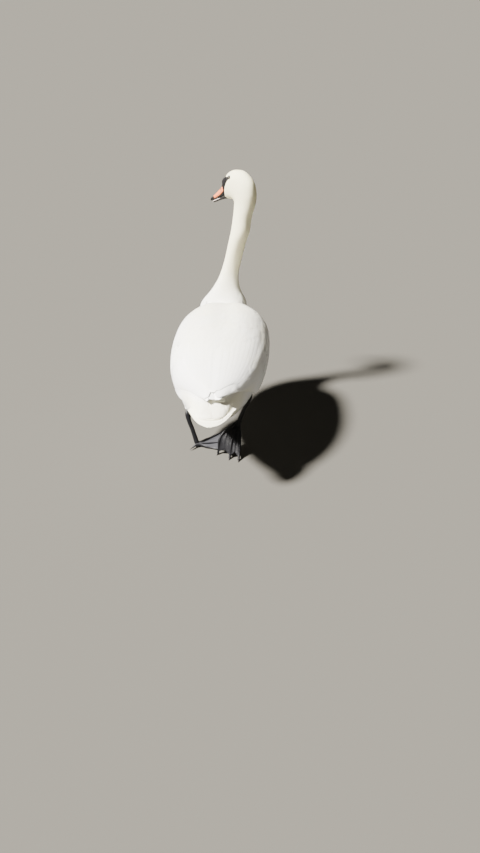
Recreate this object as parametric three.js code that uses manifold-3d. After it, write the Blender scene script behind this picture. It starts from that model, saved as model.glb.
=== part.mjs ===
// A mute swan at life size, caught in mid stride: left foot planted and turned in, right foot
// trailing on its toe tips, neck raised, head turned to the bird's left.
// Millimetres, +Z up, the bird walks towards +Y, its right side is +X.
import * as THREE from "three";
import { mergeVertices } from "three/addons/utils/BufferGeometryUtils.js";
import Module from "manifold-3d";

const wasm = await Module();
wasm.setup();

// ---------------------------------------------------------------- driving dimensions
const GAP = 0.3; // clear space between neighbouring solids
const YAW = 0.047; // sideways shift for each millimetre towards the rump
const YAW_END_Y = 90; // in front of this the body is straight
const ROLL = 0.06; // sideways shift for each millimetre up
const ROLL_Z = 335; // the height that stays in the mid plane
const ROLL_END_Z = 450; // above this the roll adds nothing more
const NECK_AXIS_Y = 206; // the vertical line that the neck and head turn about
// The neck's lean to the right in millimetres and its turn to the left in degrees, at equal steps
// of height.
const NECK = {
  fromZ: 434,
  toZ: 812,
  lean: [0, 8, 21, 37, 50, 60, 68, 77],
  turn: [0, 0, 4, 11, 21, 33, 46, 55],
};
const FACE = [254, 877]; // y and z of the head's own frame, near the eyes
const HEAD_PITCH = THREE.MathUtils.degToRad(20); // bill pointed down
const EYE_RADIUS = 6.6;
const EYE_AT = { forward: 2, side: 18, up: 11 }; // the eyeball's centre in the head's frame
const SECTION_POWER = 0.93; // under 1 makes body sections slightly squarer than an ellipse

// The feathered body as sections from rump to face. back and belly are the section's top and bottom
// in the mid plane [y, z], half is its half width and seat is where its widest place lies between
// belly and back. They describe a straight bird, which posed() then bends.
const SECTIONS = [
  { back: [-394, 329.5], belly: [-394, 312.5], half: 36, seat: 0.5 },
  { back: [-366, 351.5], belly: [-371, 294.5], half: 54, seat: 0.5 },
  { back: [-316, 384.5], belly: [-324, 261.5], half: 74, seat: 0.5 },
  { back: [-251, 419.5], belly: [-256, 225.5], half: 98, seat: 0.48 },
  { back: [-166, 451.5], belly: [-166, 191.5], half: 125, seat: 0.48 },
  { back: [-71, 471.5], belly: [-66, 177.5], half: 146, seat: 0.48 },
  { back: [19, 476], belly: [34, 179.5], half: 148, seat: 0.48 },
  { back: [89, 470.5], belly: [129, 197.5], half: 141, seat: 0.48 },
  { back: [139, 461.5], belly: [204, 233.5], half: 126, seat: 0.48 },
  { back: [168, 456.5], belly: [254, 287.5], half: 108, seat: 0.48 },
  { back: [184, 460.5], belly: [277, 347.5], half: 91, seat: 0.48 },
  { back: [195, 479], belly: [281, 407.5], half: 81, seat: 0.48 },
  { back: [202, 512.5], belly: [276, 463.5], half: 53, seat: 0.48 },
  { back: [205, 557], belly: [266, 524.5], half: 34.5, seat: 0.49 },
  { back: [200, 611], belly: [256, 595.5], half: 30, seat: 0.5 },
  { back: [189, 662.5], belly: [248, 658.5], half: 30, seat: 0.5 },
  { back: [175, 710.5], belly: [241, 712.5], half: 30.5, seat: 0.5 },
  { back: [175, 758.5], belly: [240, 762.5], half: 30, seat: 0.5 },
  { back: [170, 802], belly: [244, 800], half: 32, seat: 0.5 },
  { back: [167, 842], belly: [246, 810], half: 32.5, seat: 0.5 },
  { back: [178, 880], belly: [251, 813], half: 32, seat: 0.5 },
  { back: [210, 907], belly: [257, 813.5], half: 30.5, seat: 0.5 },
  { back: [245, 910], belly: [264, 813.5], half: 28.5, seat: 0.51 },
  { back: [270, 900], belly: [272, 813.5], half: 25.5, seat: 0.49 },
  { back: [285, 883], belly: [280, 813], half: 20, seat: 0.45 },
  { back: [293, 868], belly: [286, 815], half: 14.5, seat: 0.45 },
];
const NECK_FROM = 10; // section where the trunk ends and the neck begins
const HEAD_FROM = 18;
const NECK_PARTS = ["lower", "middle", "upper"];

// The folded wing as a cloak of elliptical arcs round the body. radius is [sideways, up, down] from
// the arc's middle at height z, from and to are its ends in degrees above the horizontal, thick is
// its depth in the middle.
const WING_ARCS = [
  { y: 180, radius: [118, 92, 100], z: 365.5, from: 2, to: 34, thick: 7 },
  { y: 156, radius: [142, 112, 130], z: 361.5, from: -12, to: 56, thick: 14 },
  { y: 104, radius: [165, 127, 160], z: 357.5, from: -22, to: 72, thick: 24 },
  { y: 29, radius: [171, 134, 182], z: 355.5, from: -29, to: 79, thick: 30 },
  { y: -56, radius: [170, 136, 187], z: 353.5, from: -29.5, to: 83, thick: 32 },
  { y: -136, radius: [161, 127, 170], z: 350.5, from: -27, to: 87, thick: 31 },
  { y: -211, radius: [140, 106, 130], z: 350.5, from: -18, to: 89.4, thick: 26 },
  { y: -271, radius: [111, 80, 90], z: 353.5, from: -5, to: 89.4, thick: 18 },
  { y: -314, radius: [82, 55, 60], z: 356.5, from: 8, to: 89, thick: 12 },
  { y: -348, radius: [53, 34, 40], z: 359.5, from: 18, to: 87, thick: 7 },
  { y: -374, radius: [32, 17, 20], z: 360.5, from: 36, to: 70, thick: 3 },
];

const WING_SET = {
  left: { side: -1, lift: -4, tuck: 12 }, // the left wing droops a little and hugs the flank
  right: { side: 1, lift: 5, tuck: 1 },
};
const WING_RIM = [9, 2.4]; // thickness at the cloak's lower and upper edges
const WING_RIM_FADE = 1.6; // how fast the lower rim thins towards the upper
const WING_SWELL = 0.7; // under 1 keeps the wing thick close to its edges
const WING_POWER = 0.9; // under 1 makes the arcs slightly squarer than an ellipse
const WING_CLEAR = 0.6; // the upper edges stay this far from the mid plane

// The tail is a fan of feathers drawn as one arched blade, thick and narrow at its root.
const TAIL = {
  y: [-301, -427],
  z: [349, 309],
  half: [34, 73],
  thick: [15, 4],
  arch: 6,
  flare: 1.25, // how soon it reaches its full width
  bulge: 0.8, // under 1 widens it faster at the root
  rounding: 0.6, // how far the outer feathers end before the middle ones
  roundness: 2.2, // how suddenly they do so towards the sides
  thinning: 0.55, // how much thinner it is at its sides
};

// The bill in the head's frame, in rows of [forward, top, bottom, half width].
const BILL_UPPER = [
  [30, -4, -34, 14],
  [42, -6, -37, 16],
  [54, -10.5, -39.5, 15.5],
  [67, -17, -41.5, 14.8],
  [82, -24, -43.5, 14.8],
  [96, -30, -45, 15.6],
  [106, -33.5, -44.7, 14.3],
  [112.5, -36.5, -44.9, 10.5],
  [116, -39.5, -44.6, 4.5],
];
const BILL_LOWER = [
  [32, -37, -50.5, 12.5],
  [44, -39.5, -52, 13.5],
  [58, -43, -51.5, 13],
  [74, -45.5, -51.8, 12.6],
  [90, -47.5, -52.8, 13],
  [100, -49.2, -53.8, 11.5],
  [105.5, -50.2, -53.6, 7.5],
  [108, -51, -53, 3],
];
const NAIL_FROM = 104; // the black nail is the bill's last stretch
const BILL_ROUNDNESS = 0.8; // under 1 flattens the bill above and below
const TONGUE = [
  [60, -41.6, -42.8, 3],
  [74, -43, -45.8, 9],
  [88, -44.5, -48, 11.5],
  [98, -45.3, -49.6, 12],
  [104, -46, -50.4, 10],
  [107, -47.4, -50.6, 5],
];
// The knob above the base of the bill is an egg that leans forward.
const KNOB = { forward: 37, up: 3, half: [15.5, 11, 9.5], pitch: 38 };

// The feathered thigh runs from the knee through the calf to the ankle, the joint above the shank,
// and the knuckle is the joint above the toes. Each toe runs from the knuckle over a bend to its
// tip on the floor. hind is the small raised toe.
const TOES = ["inner", "middle", "outer"];
const LEGS = {
  left: {
    knee: [-62, 30, 270],
    calf: [-96, 0, 208],
    ankle: [-116, -48, 119],
    knuckle: [-86, -66, 13],
    across: [0.3, -0.95, 0],
    bends: [[-33, -80, 3.6], [-16, -45, 3.6], [-38, -12, 3.6]],
    tips: [[17, -92, 3], [52, -22, 3], [6, 30, 3]],
    hind: [-103, -86, 8],
  },
  right: {
    knee: [62, 10, 292],
    calf: [86, -26, 250],
    ankle: [104, -62, 209],
    knuckle: [67, -70, 115],
    across: [-1, 0.1, 0],
    bends: [[3, -101, 70], [42, -113, 64], [70, -117, 62]],
    tips: [[-9, -117, 3], [33, -145, 3], [65, -157, 3]],
    hind: [50, -88, 104],
  },
};
const THIGH_RADIUS = [46, 12];
const THIGH_FULLNESS = 0.8; // under 1 keeps it thick for longer
const THIGH_END = 0.22; // how far above the ankle its feathers end, as a share of the calf
const SHANK_HALF = [8, 5.4]; // front to back and across
const ANKLE_AT = 0.27; // the ankle's place along the shank, its swelling and its length
const ANKLE_SWELL = 0.45;
const ANKLE_SPREAD = 0.09;
const KNUCKLE_SWELL = 0.6;
const KNUCKLE_FROM = 0.75; // where along the shank that swelling starts
const HEEL = { radius: 9.5, drop: 5 }; // the pad under the knuckle
const TOE_RADIUS = [6, 3.8]; // at the knuckle and at the claw
const TOE_SWELL = 0.1;
const TOE_SWELLINGS = 3;
const HIND_RADIUS = [4.5, 2.6];
const HIND_BEND = 0.6; // where the hind toe bends
const WEB_THICK = 1.8;
const WEB_FROM = 0.06; // where the web starts and ends along the toes
const WEB_REACH = 0.93;
const WEB_HOLLOW = 0.13; // how far its front edge is drawn back between them
const CLAW_LENGTH = 13;
const CLAW_ROOT = 3; // the length sunk in the toe
const CLAW_RADIUS = [3.2, 2.3]; // of the front claws and of the hind one, at the root
const CLAW_POINT = 0.6;
const CLAW_DIVE = -0.3; // the steepest way down that a claw may start
const CLAW_TIP_Z = 1.3;
const CLAW_CLEAR = 0.5; // claws stay this far above the floor

// How finely each part is divided.
const [TRUNK_STEPS, TRUNK_SIDES] = [15, 28];
const [NECK_STEPS, NECK_SIDES] = [4, 20];
const [HEAD_STEPS, HEAD_SIDES] = [9, 18];
const [BILL_FINENESS, BILL_SIDES] = [1.25, 12];
const BALL_FACES = [12, 8];
const [TAIL_STEPS, TAIL_SIDES] = [7, 10];
const [WING_STEPS, WING_SIDES] = [15, 9];
const [THIGH_STEPS, THIGH_SIDES] = [8, 14];
const [SHANK_STEPS, SHANK_SIDES] = [10, 8];
const [TOE_STEPS, TOE_SIDES] = [5, 6];
const [SMALL_STEPS, SMALL_SIDES] = [3, 6]; // of claws and hind toes
const HEEL_FACES = [8, 6];
const [WEB_STEPS, WEB_SIDES] = [3, 3];

// ---------------------------------------------------------------- small tools
const { degToRad, lerp, clamp } = THREE.MathUtils;
const v3 = (x, y, z) => new THREE.Vector3(x, y, z);
const colour = (hex, roughness, metalness = 0) =>
  new THREE.MeshStandardMaterial({ color: hex, roughness, metalness });
const MATERIALS = {
  plumage: colour(0xf4f2ea, 0.85),
  bill: colour(0xe39a6b, 0.45),
  horn: colour(0x17161a, 0.4),
  leg: colour(0x24242a, 0.55),
  eye: colour(0x120c0a, 0.08),
  tongue: colour(0xe9b9b0, 0.4),
};

// Catmull-Rom value of a list of numbers at a fractional place.
function along(values, at) {
  const last = values.length - 1;
  const i = clamp(Math.floor(at), 0, last - 1);
  const t = at - i;
  const [a, b, c, d] = [i - 1, i, i + 1, i + 2].map((k) => values[clamp(k, 0, last)]);
  return 0.5 * (2 * b + t * (c - a + t * (2 * a - 5 * b + 4 * c - d + t * (3 * b - 3 * c + d - a))));
}

// The same for a list of objects whose members are numbers or lists of numbers.
function between(list, at) {
  const found = {};
  for (const key of Object.keys(list[0]))
    found[key] = Array.isArray(list[0][key])
      ? list[0][key].map((_, k) => along(list.map((row) => row[key][k]), at))
      : along(list.map((row) => row[key]), at);
  return found;
}

// A closed mesh from rings of equal length, each end closed by a fan about its ring's middle.
function loft(rings) {
  const n = rings[0].length;
  const points = rings.flat();
  const middle = (ring) => ring.reduce((sum, p) => sum.add(p), new THREE.Vector3()).divideScalar(n);
  const start = points.push(middle(rings[0])) - 1;
  const end = points.push(middle(rings.at(-1))) - 1;
  const faces = [];
  for (let i = 0; i < n; i++) {
    const j = (i + 1) % n;
    for (let r = 0; r + 1 < rings.length; r++) {
      const [a, b, c, d] = [r * n + i, r * n + j, (r + 1) * n + j, (r + 1) * n + i];
      faces.push(a, b, c, a, c, d);
    }
    const top = (rings.length - 1) * n;
    faces.push(start, j, i, end, top + i, top + j);
  }
  const geometry = new THREE.BufferGeometry().setFromPoints(points);
  geometry.setIndex(faces);
  return geometry;
}

// A closed geometry as a manifold solid, turned right side out, and a solid as a geometry.
function solid(geometry) {
  const merged = mergeVertices(geometry, 1e-4);
  const vertProperties = new Float32Array(merged.attributes.position.array);
  const triVerts = new Uint32Array(merged.index.array);
  const made = new wasm.Manifold(new wasm.Mesh({ numProp: 3, vertProperties, triVerts }));
  if (made.volume() >= 0) return made;
  for (let i = 0; i < triVerts.length; i += 3)
    [triVerts[i + 1], triVerts[i + 2]] = [triVerts[i + 2], triVerts[i + 1]];
  return new wasm.Manifold(new wasm.Mesh({ numProp: 3, vertProperties, triVerts }));
}

function geometryOf(made) {
  const mesh = made.getMesh();
  const points = new Float32Array(mesh.numVert * 3);
  for (let i = 0; i < mesh.numVert; i++)
    points.set(mesh.vertProperties.subarray(i * mesh.numProp, i * mesh.numProp + 3), i * 3);
  const geometry = new THREE.BufferGeometry();
  geometry.setAttribute("position", new THREE.BufferAttribute(points, 3));
  geometry.setIndex(new THREE.BufferAttribute(mesh.triVerts, 1));
  return geometry;
}

// The largest of a solid's separate bodies, which drops slivers that a cut leaves.
function largest(made) {
  return made.decompose().reduce((a, b) => (a.volume() > b.volume() ? a : b));
}

const swan = new THREE.Group();
function add(name, made, material) {
  const mesh = new THREE.Mesh(geometryOf(largest(made)), material);
  mesh.name = name;
  mesh.geometry.computeVertexNormals();
  swan.add(mesh);
}

// One ring of points about a centre, on an ellipse spanned by two directions.
function ellipse(centre, one, other, half, sides, turn = 0) {
  return Array.from({ length: sides }, (_, i) => {
    const a = ((i + turn) / sides) * 2 * Math.PI;
    return centre
      .clone()
      .addScaledVector(one, half[0] * Math.cos(a))
      .addScaledVector(other, half[1] * Math.sin(a));
  });
}

// A cosine drawn towards a square wave: power under 1 flattens a section's sides.
const squared = (value, power) => Math.sign(value) * Math.abs(value) ** power;

// A round tapered rod along a curve, with a corner of its section at the bottom.
function rod(curve, radius, steps, sides) {
  const rings = [];
  for (let k = 0; k <= steps; k++) {
    const at = k / steps;
    const way = curve.getTangent(at);
    const side = way.clone().cross(v3(0, 0, 1)).normalize();
    const up = side.clone().cross(way);
    const r = radius(at);
    rings.push(ellipse(curve.getPoint(at), side, up, [r, r], sides, 0.5));
  }
  return solid(loft(rings));
}

// A ball with few faces, for eyes and joints.
function ball(centre, radius, around, rows) {
  const sphere = new THREE.SphereGeometry(radius, around, rows);
  sphere.deleteAttribute("normal").deleteAttribute("uv");
  return solid(sphere.translate(centre.x, centre.y, centre.z));
}

// ---------------------------------------------------------------- trunk, neck and head
// A point of the straight bird, put where the bent body, leaning neck and turned head carry it.
function posed(x, y, z) {
  const last = NECK.lean.length - 1;
  const at = clamp((z - NECK.fromZ) / (NECK.toZ - NECK.fromZ), 0, 1) * last;
  const angle = degToRad(along(NECK.turn, at));
  const ahead = y - NECK_AXIS_Y;
  const bend = YAW * Math.min(y, YAW_END_Y) + ROLL * (Math.min(z, ROLL_END_Z) - ROLL_Z);
  return v3(
    x * Math.cos(angle) - ahead * Math.sin(angle) + bend + along(NECK.lean, at),
    NECK_AXIS_Y + x * Math.sin(angle) + ahead * Math.cos(angle),
    z,
  );
}

// One ring of the body at a fractional section, grown outwards by grow and pushed along the spine.
function bodyRing(at, sides, grow, push) {
  const s = between(SECTIONS, at);
  const [dy, dz] = [s.back[0] - s.belly[0], s.back[1] - s.belly[1]];
  const depth = Math.hypot(dy, dz);
  const [uy, uz] = [dy / depth, dz / depth]; // towards the back, in the mid plane
  const [cy, cz] = [lerp(s.belly[0], s.back[0], s.seat), lerp(s.belly[1], s.back[1], s.seat)];
  return Array.from({ length: sides }, (_, i) => {
    const a = (i / sides) * 2 * Math.PI;
    const x = (s.half + grow) * squared(Math.cos(a), SECTION_POWER);
    const reach = depth * (Math.sin(a) > 0 ? 1 - s.seat : s.seat) + grow;
    const h = reach * squared(Math.sin(a), SECTION_POWER);
    return posed(x, cy + uy * h + uz * push, cz + uz * h - uy * push);
  });
}

// The body between two sections. A part that follows another starts a gap further on.
function bodyPart(from, to, steps, sides, grow = 0) {
  const rings = [];
  for (let k = 0; k <= steps; k++) {
    const push = k === 0 && from > 0 ? GAP : 0;
    rings.push(bodyRing(lerp(from, to, k / steps), sides, grow, push));
  }
  return solid(loft(rings));
}

const trunkGrown = bodyPart(0, NECK_FROM, TRUNK_STEPS, TRUNK_SIDES, GAP);
add("trunk", bodyPart(0, NECK_FROM, TRUNK_STEPS, TRUNK_SIDES), MATERIALS.plumage);

const neckLength = (HEAD_FROM - NECK_FROM) / NECK_PARTS.length;
NECK_PARTS.forEach((part, k) => {
  const from = NECK_FROM + k * neckLength;
  const length = bodyPart(from, from + neckLength, NECK_STEPS, NECK_SIDES);
  add("neck_" + part, length, MATERIALS.plumage);
});

// A point in the head's own frame: f forward, x sideways to the right, u up.
function headPoint(f, x, u) {
  const [c, s] = [Math.cos(HEAD_PITCH), Math.sin(HEAD_PITCH)];
  return posed(x, FACE[0] + f * c + u * s, FACE[1] - f * s + u * c);
}

// A bill part from rows of [forward, top, bottom, half width], with flattened sections.
function billPart(rows, grow = 0) {
  const last = rows.length - 1;
  const columns = rows[0].map((_, column) => rows.map((row) => row[column]));
  const steps = Math.round(rows.length * BILL_FINENESS);
  const rings = [];
  for (let k = 0; k <= steps; k++) {
    const [f, top, bottom, half] = columns.map((values) => along(values, (k / steps) * last));
    const longer = k === 0 ? -grow : k === steps ? grow : 0;
    rings.push(
      Array.from({ length: BILL_SIDES }, (_, i) => {
        const a = ((i + 0.5) / BILL_SIDES) * 2 * Math.PI;
        const x = (half + grow) * squared(Math.cos(a), BILL_ROUNDNESS);
        const rise = (top - bottom) / 2 + grow;
        const u = (top + bottom) / 2 + rise * squared(Math.sin(a), BILL_ROUNDNESS);
        return headPoint(f + longer, x, u);
      }),
    );
  }
  return solid(loft(rings));
}

function knob(grow) {
  const egg = new THREE.SphereGeometry(1, ...BALL_FACES).deleteAttribute("normal").deleteAttribute("uv");
  const place = egg.attributes.position;
  const tilt = degToRad(KNOB.pitch);
  for (let i = 0; i < place.count; i++) {
    const f = place.getX(i) * (KNOB.half[0] + grow);
    const u = place.getY(i) * (KNOB.half[1] + grow);
    const p = headPoint(
      KNOB.forward + f * Math.cos(tilt) + u * Math.sin(tilt),
      place.getZ(i) * (KNOB.half[2] + grow),
      KNOB.up - f * Math.sin(tilt) + u * Math.cos(tilt),
    );
    place.setXYZ(i, p.x, p.y, p.z);
  }
  return solid(egg);
}

const billUpper = billPart(BILL_UPPER);
const billLower = billPart(BILL_LOWER);
let head = bodyPart(HEAD_FROM, SECTIONS.length - 1, HEAD_STEPS, HEAD_SIDES)
  .subtract(billPart(BILL_UPPER, GAP))
  .subtract(billPart(BILL_LOWER, GAP))
  .subtract(knob(GAP));
for (const [name, side] of [["left", -1], ["right", 1]]) {
  const centre = headPoint(EYE_AT.forward, side * EYE_AT.side, EYE_AT.up);
  head = head.subtract(ball(centre, EYE_RADIUS + GAP, ...BALL_FACES));
  add("eye_" + name, ball(centre, EYE_RADIUS, ...BALL_FACES), MATERIALS.eye);
}
add("head", head, MATERIALS.plumage);

// The nail is cut off the upper bill by a plane across it.
const forward = headPoint(1, 0, 0).sub(headPoint(0, 0, 0));
const backward = forward.clone().negate();
const nailAt = headPoint(NAIL_FROM, 0, 0).dot(forward);
const bridge = billUpper.trimByPlane(backward.toArray(), -nailAt).subtract(knob(GAP));
add("bill_knob", knob(0), MATERIALS.horn);
add("bill_upper", bridge, MATERIALS.bill);
add("bill_nail", billUpper.trimByPlane(forward.toArray(), nailAt + GAP), MATERIALS.horn);
add("bill_lower", billLower, MATERIALS.horn);

const freeTongue = billPart(TONGUE)
  .subtract(billPart(BILL_UPPER, GAP))
  .subtract(billPart(BILL_LOWER, GAP));
add("tongue", freeTongue, MATERIALS.tongue);

// ---------------------------------------------------------------- tail
// Rows from root to tip, each an arched strip that ends early at its sides to round the tip.
function tail(grow) {
  const rings = [];
  for (let k = 0; k <= TAIL_STEPS; k++) {
    const v = k / TAIL_STEPS;
    const widest = lerp(...TAIL.half, Math.min(1, v * TAIL.flare) ** TAIL.bulge) + grow;
    const upper = [];
    const lower = [];
    for (let i = 0; i <= TAIL_SIDES; i++) {
      const w = (2 * i) / TAIL_SIDES - 1;
      const reach = v - TAIL.rounding * v * v * Math.abs(w) ** TAIL.roundness;
      const y = lerp(TAIL.y[0] + grow, TAIL.y[1] - grow, reach);
      const z = lerp(...TAIL.z, reach) - TAIL.arch * w * w;
      const thin = 1 - TAIL.thinning * Math.abs(w) ** 3;
      const depth = (lerp(...TAIL.thick, v) / 2 + grow) * thin;
      upper.push(posed(w * widest, y, z + depth));
      lower.unshift(posed(w * widest, y, z - depth));
    }
    rings.push([...upper, ...lower]);
  }
  return solid(loft(rings));
}
add("tail", tail(0).subtract(trunkGrown), MATERIALS.plumage);
const tailGrown = tail(GAP);

// ---------------------------------------------------------------- wings
function wing({ side, lift, tuck }) {
  const rings = [];
  for (let k = 0; k <= WING_STEPS; k++) {
    const s = between(WING_ARCS, (k / WING_STEPS) * (WING_ARCS.length - 1));
    const outer = [];
    const inner = [];
    for (let i = 0; i <= WING_SIDES; i++) {
      const v = i / WING_SIDES; // 0 at the lower edge, 1 at the upper
      const a = degToRad(lerp(s.from, s.to, v));
      const rim = lerp(Math.min(WING_RIM[0], s.thick), WING_RIM[1], Math.min(1, WING_RIM_FADE * v));
      const depth = rim + s.thick * (1 - (2 * v - 1) ** 2) ** WING_SWELL;
      const point = (inset) => {
        const reach = (s.radius[0] - inset) * Math.cos(a) ** WING_POWER - tuck * (1 - v) ** 2;
        const rise = (s.radius[a > 0 ? 1 : 2] - inset) * Math.sin(a) + lift * (1 - v);
        return posed(side * Math.max(reach, WING_CLEAR), s.y, s.z + rise);
      };
      outer.push(point(0));
      inner.unshift(point(depth));
    }
    rings.push([...outer, ...inner]);
  }
  return solid(loft(rings));
}
for (const [name, set] of Object.entries(WING_SET))
  add("wing_" + name, wing(set).subtract(trunkGrown).subtract(tailGrown), MATERIALS.plumage);

// ---------------------------------------------------------------- legs
// A toe is thickest at its joints, which show as gentle swellings.
const toeRadius = (at) =>
  lerp(...TOE_RADIUS, at) * (1 + TOE_SWELL * Math.cos(at * TOE_SWELLINGS * 2 * Math.PI));

// The web between two toes: a thin sheet ruled between their middle lines, its front edge hollow.
function web(one, other) {
  const at = (v, w) => {
    const hollow = WEB_REACH - WEB_HOLLOW * Math.sin(Math.PI * w);
    return one.getPoint(v * hollow).lerp(other.getPoint(v * hollow), w);
  };
  const rings = [];
  const e = 0.02; // a small step, which finds the sheet's directions
  for (let k = 0; k <= WEB_STEPS; k++) {
    const v = lerp(WEB_FROM, 1, k / WEB_STEPS);
    const top = [];
    const low = [];
    for (let i = 0; i <= WEB_SIDES; i++) {
      const w = i / WEB_SIDES;
      const onward = at(Math.min(v + e, 1), w).sub(at(v - e, w));
      const across = at(v, Math.min(w + e, 1)).sub(at(v, Math.max(w - e, 0)));
      const n = onward.cross(across).normalize().multiplyScalar(WEB_THICK / 2);
      top.push(at(v, w).add(n));
      low.unshift(at(v, w).sub(n));
    }
    rings.push([...top, ...low]);
  }
  return solid(loft(rings));
}

// The bare shank from above the ankle to the knuckle, with both joints swollen.
function shank(leg, grow) {
  const line = new THREE.CatmullRomCurve3([
    leg.ankle.clone().lerp(leg.calf, 0.5),
    leg.ankle,
    leg.ankle.clone().lerp(leg.knuckle, 0.5),
    leg.knuckle.clone().lerp(leg.ankle, 0.04),
  ]);
  const rings = [];
  for (let k = 0; k <= SHANK_STEPS; k++) {
    const at = k / SHANK_STEPS;
    const ankle = ANKLE_SWELL * Math.exp(-(((at - ANKLE_AT) / ANKLE_SPREAD) ** 2));
    const swell = 1 + ankle + KNUCKLE_SWELL * Math.max(0, at - KNUCKLE_FROM);
    const way = line.getTangent(at);
    const front = way.clone().cross(leg.across).normalize();
    const side = front.clone().cross(way).normalize();
    const half = SHANK_HALF.map((size) => size * swell + grow);
    rings.push(ellipse(line.getPoint(at), front, side, half, SHANK_SIDES));
  }
  return solid(loft(rings));
}

// The feathered thigh comes out of the belly and ends a little above the ankle.
function thigh(leg) {
  const end = leg.ankle.clone().lerp(leg.calf, THIGH_END);
  const line = new THREE.CatmullRomCurve3([leg.knee, leg.calf, end]);
  const fall = (at) => Math.cos((at * Math.PI) / 2) ** THIGH_FULLNESS;
  const radius = (at) => lerp(THIGH_RADIUS[1], THIGH_RADIUS[0], fall(at));
  return rod(line, radius, THIGH_STEPS, THIGH_SIDES);
}

// A claw reaches on from its toe, just above the floor, and thins to a point.
function claw(start, direction, thick, grow) {
  const level = direction.clone().setZ(Math.max(direction.z, CLAW_DIVE)).normalize();
  const root = start.clone().addScaledVector(level, -CLAW_ROOT);
  const tip = start.clone().addScaledVector(level, CLAW_LENGTH);
  tip.z = Math.max(Math.min(start.z - 1, tip.z), CLAW_TIP_Z);
  const middle = start.clone().lerp(tip, 0.5).add(v3(0, 0, 1));
  const line = new THREE.CatmullRomCurve3([root, middle, tip]);
  return rod(line, (at) => lerp(thick, CLAW_POINT, at) + grow, SMALL_STEPS, SMALL_SIDES);
}

for (const [name, sizes] of Object.entries(LEGS)) {
  const { bends, tips, ...joints } = sizes;
  const leg = Object.fromEntries(Object.entries(joints).map(([key, at]) => [key, v3(...at)]));
  const shankGrown = shank(leg, GAP);
  add("thigh_" + name, thigh(leg).subtract(trunkGrown).subtract(shankGrown), MATERIALS.plumage);
  add("shank_" + name, shank(leg, 0).subtract(trunkGrown), MATERIALS.leg);

  const toeLine = (bend, tip) => new THREE.CatmullRomCurve3([leg.knuckle, v3(...bend), v3(...tip)]);
  const lines = tips.map((tip, k) => toeLine(bends[k], tip));
  const hindLine = toeLine(leg.knuckle.clone().lerp(leg.hind, HIND_BEND).toArray(), leg.hind.toArray());
  const heel = leg.knuckle.clone().setZ(leg.knuckle.z - HEEL.drop);
  const hindRadius = (at) => lerp(...HIND_RADIUS, at);
  let foot = ball(heel, HEEL.radius, ...HEEL_FACES)
    .add(rod(hindLine, hindRadius, SMALL_STEPS, SMALL_SIDES))
    .add(web(lines[0], lines[1]))
    .add(web(lines[1], lines[2]));
  for (const line of lines) foot = foot.add(rod(line, toeRadius, TOE_STEPS, TOE_SIDES));
  foot = foot.trimByPlane([0, 0, 1], 0).subtract(shankGrown);

  const roots = lines.map((line, k) => [TOES[k], line, CLAW_RADIUS[0]]);
  for (const [toe, line, thick] of [...roots, ["hind", hindLine, CLAW_RADIUS[1]]]) {
    const shape = (grow) => claw(line.getPoint(1), line.getTangent(1), thick, grow);
    foot = foot.subtract(shape(GAP));
    add(`claw_${name}_${toe}`, shape(0).trimByPlane([0, 0, 1], CLAW_CLEAR), MATERIALS.horn);
  }
  add("foot_" + name, foot, MATERIALS.leg);
}

// ---------------------------------------------------------------- origin
// The middle of the footprint's box on the floor.
const box = new THREE.Box3().setFromObject(swan);
swan.position.set(-(box.min.x + box.max.x) / 2, -(box.min.y + box.max.y) / 2, -box.min.z);

export default swan;
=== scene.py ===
"""A mute swan at life size, caught in mid stride, as solid feathers over one skin.

Lengths in the tables are millimetres in the frame of the straight bird; posed() bends it, and
metres() puts a point in the part's own frame.
"""

import math

import bpy
import numpy as np
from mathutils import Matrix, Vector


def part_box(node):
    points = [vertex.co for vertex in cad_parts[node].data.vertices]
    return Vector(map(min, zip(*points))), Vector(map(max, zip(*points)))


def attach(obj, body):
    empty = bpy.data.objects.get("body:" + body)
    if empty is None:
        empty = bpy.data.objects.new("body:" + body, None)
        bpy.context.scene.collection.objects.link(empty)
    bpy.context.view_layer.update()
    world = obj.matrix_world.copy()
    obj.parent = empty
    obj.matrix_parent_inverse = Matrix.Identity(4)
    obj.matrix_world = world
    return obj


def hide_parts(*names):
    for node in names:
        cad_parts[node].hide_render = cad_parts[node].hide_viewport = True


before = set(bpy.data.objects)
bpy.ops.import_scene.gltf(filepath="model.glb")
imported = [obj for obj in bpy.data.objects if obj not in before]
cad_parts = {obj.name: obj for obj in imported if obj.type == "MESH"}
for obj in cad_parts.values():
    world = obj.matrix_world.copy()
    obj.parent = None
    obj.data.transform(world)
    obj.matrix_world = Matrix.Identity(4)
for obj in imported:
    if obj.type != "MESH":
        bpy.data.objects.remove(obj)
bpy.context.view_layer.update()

bl_info = {
    "name": "Mute Swan",
    "version": (1, 0, 0),
    "blender": (4, 5, 0),
    "location": "View3D > Sidebar > Swan",
    "description": "Builds the skin, feathers, face and feet of a walking mute swan",
    "category": "Object",
}

MM = 0.001

# ---------------------------------------------------------------- the bird's own sizes
YAW, YAW_END_Y = 0.047, 90
ROLL, ROLL_Z, ROLL_END_Z = 0.06, 335, 450
NECK_AXIS_Y = 206
NECK_Z = (434, 812)
NECK_LEAN = [0, 8, 21, 37, 50, 60, 68, 77]
NECK_TURN = [0, 0, 4, 11, 21, 33, 46, 55]
FACE_Y, FACE_Z, HEAD_PITCH = 254, 877, math.radians(20)
EYE_RADIUS, EYE_AT = 6.6, (2, 18, 11)
SECTION_POWER = 0.93

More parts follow.
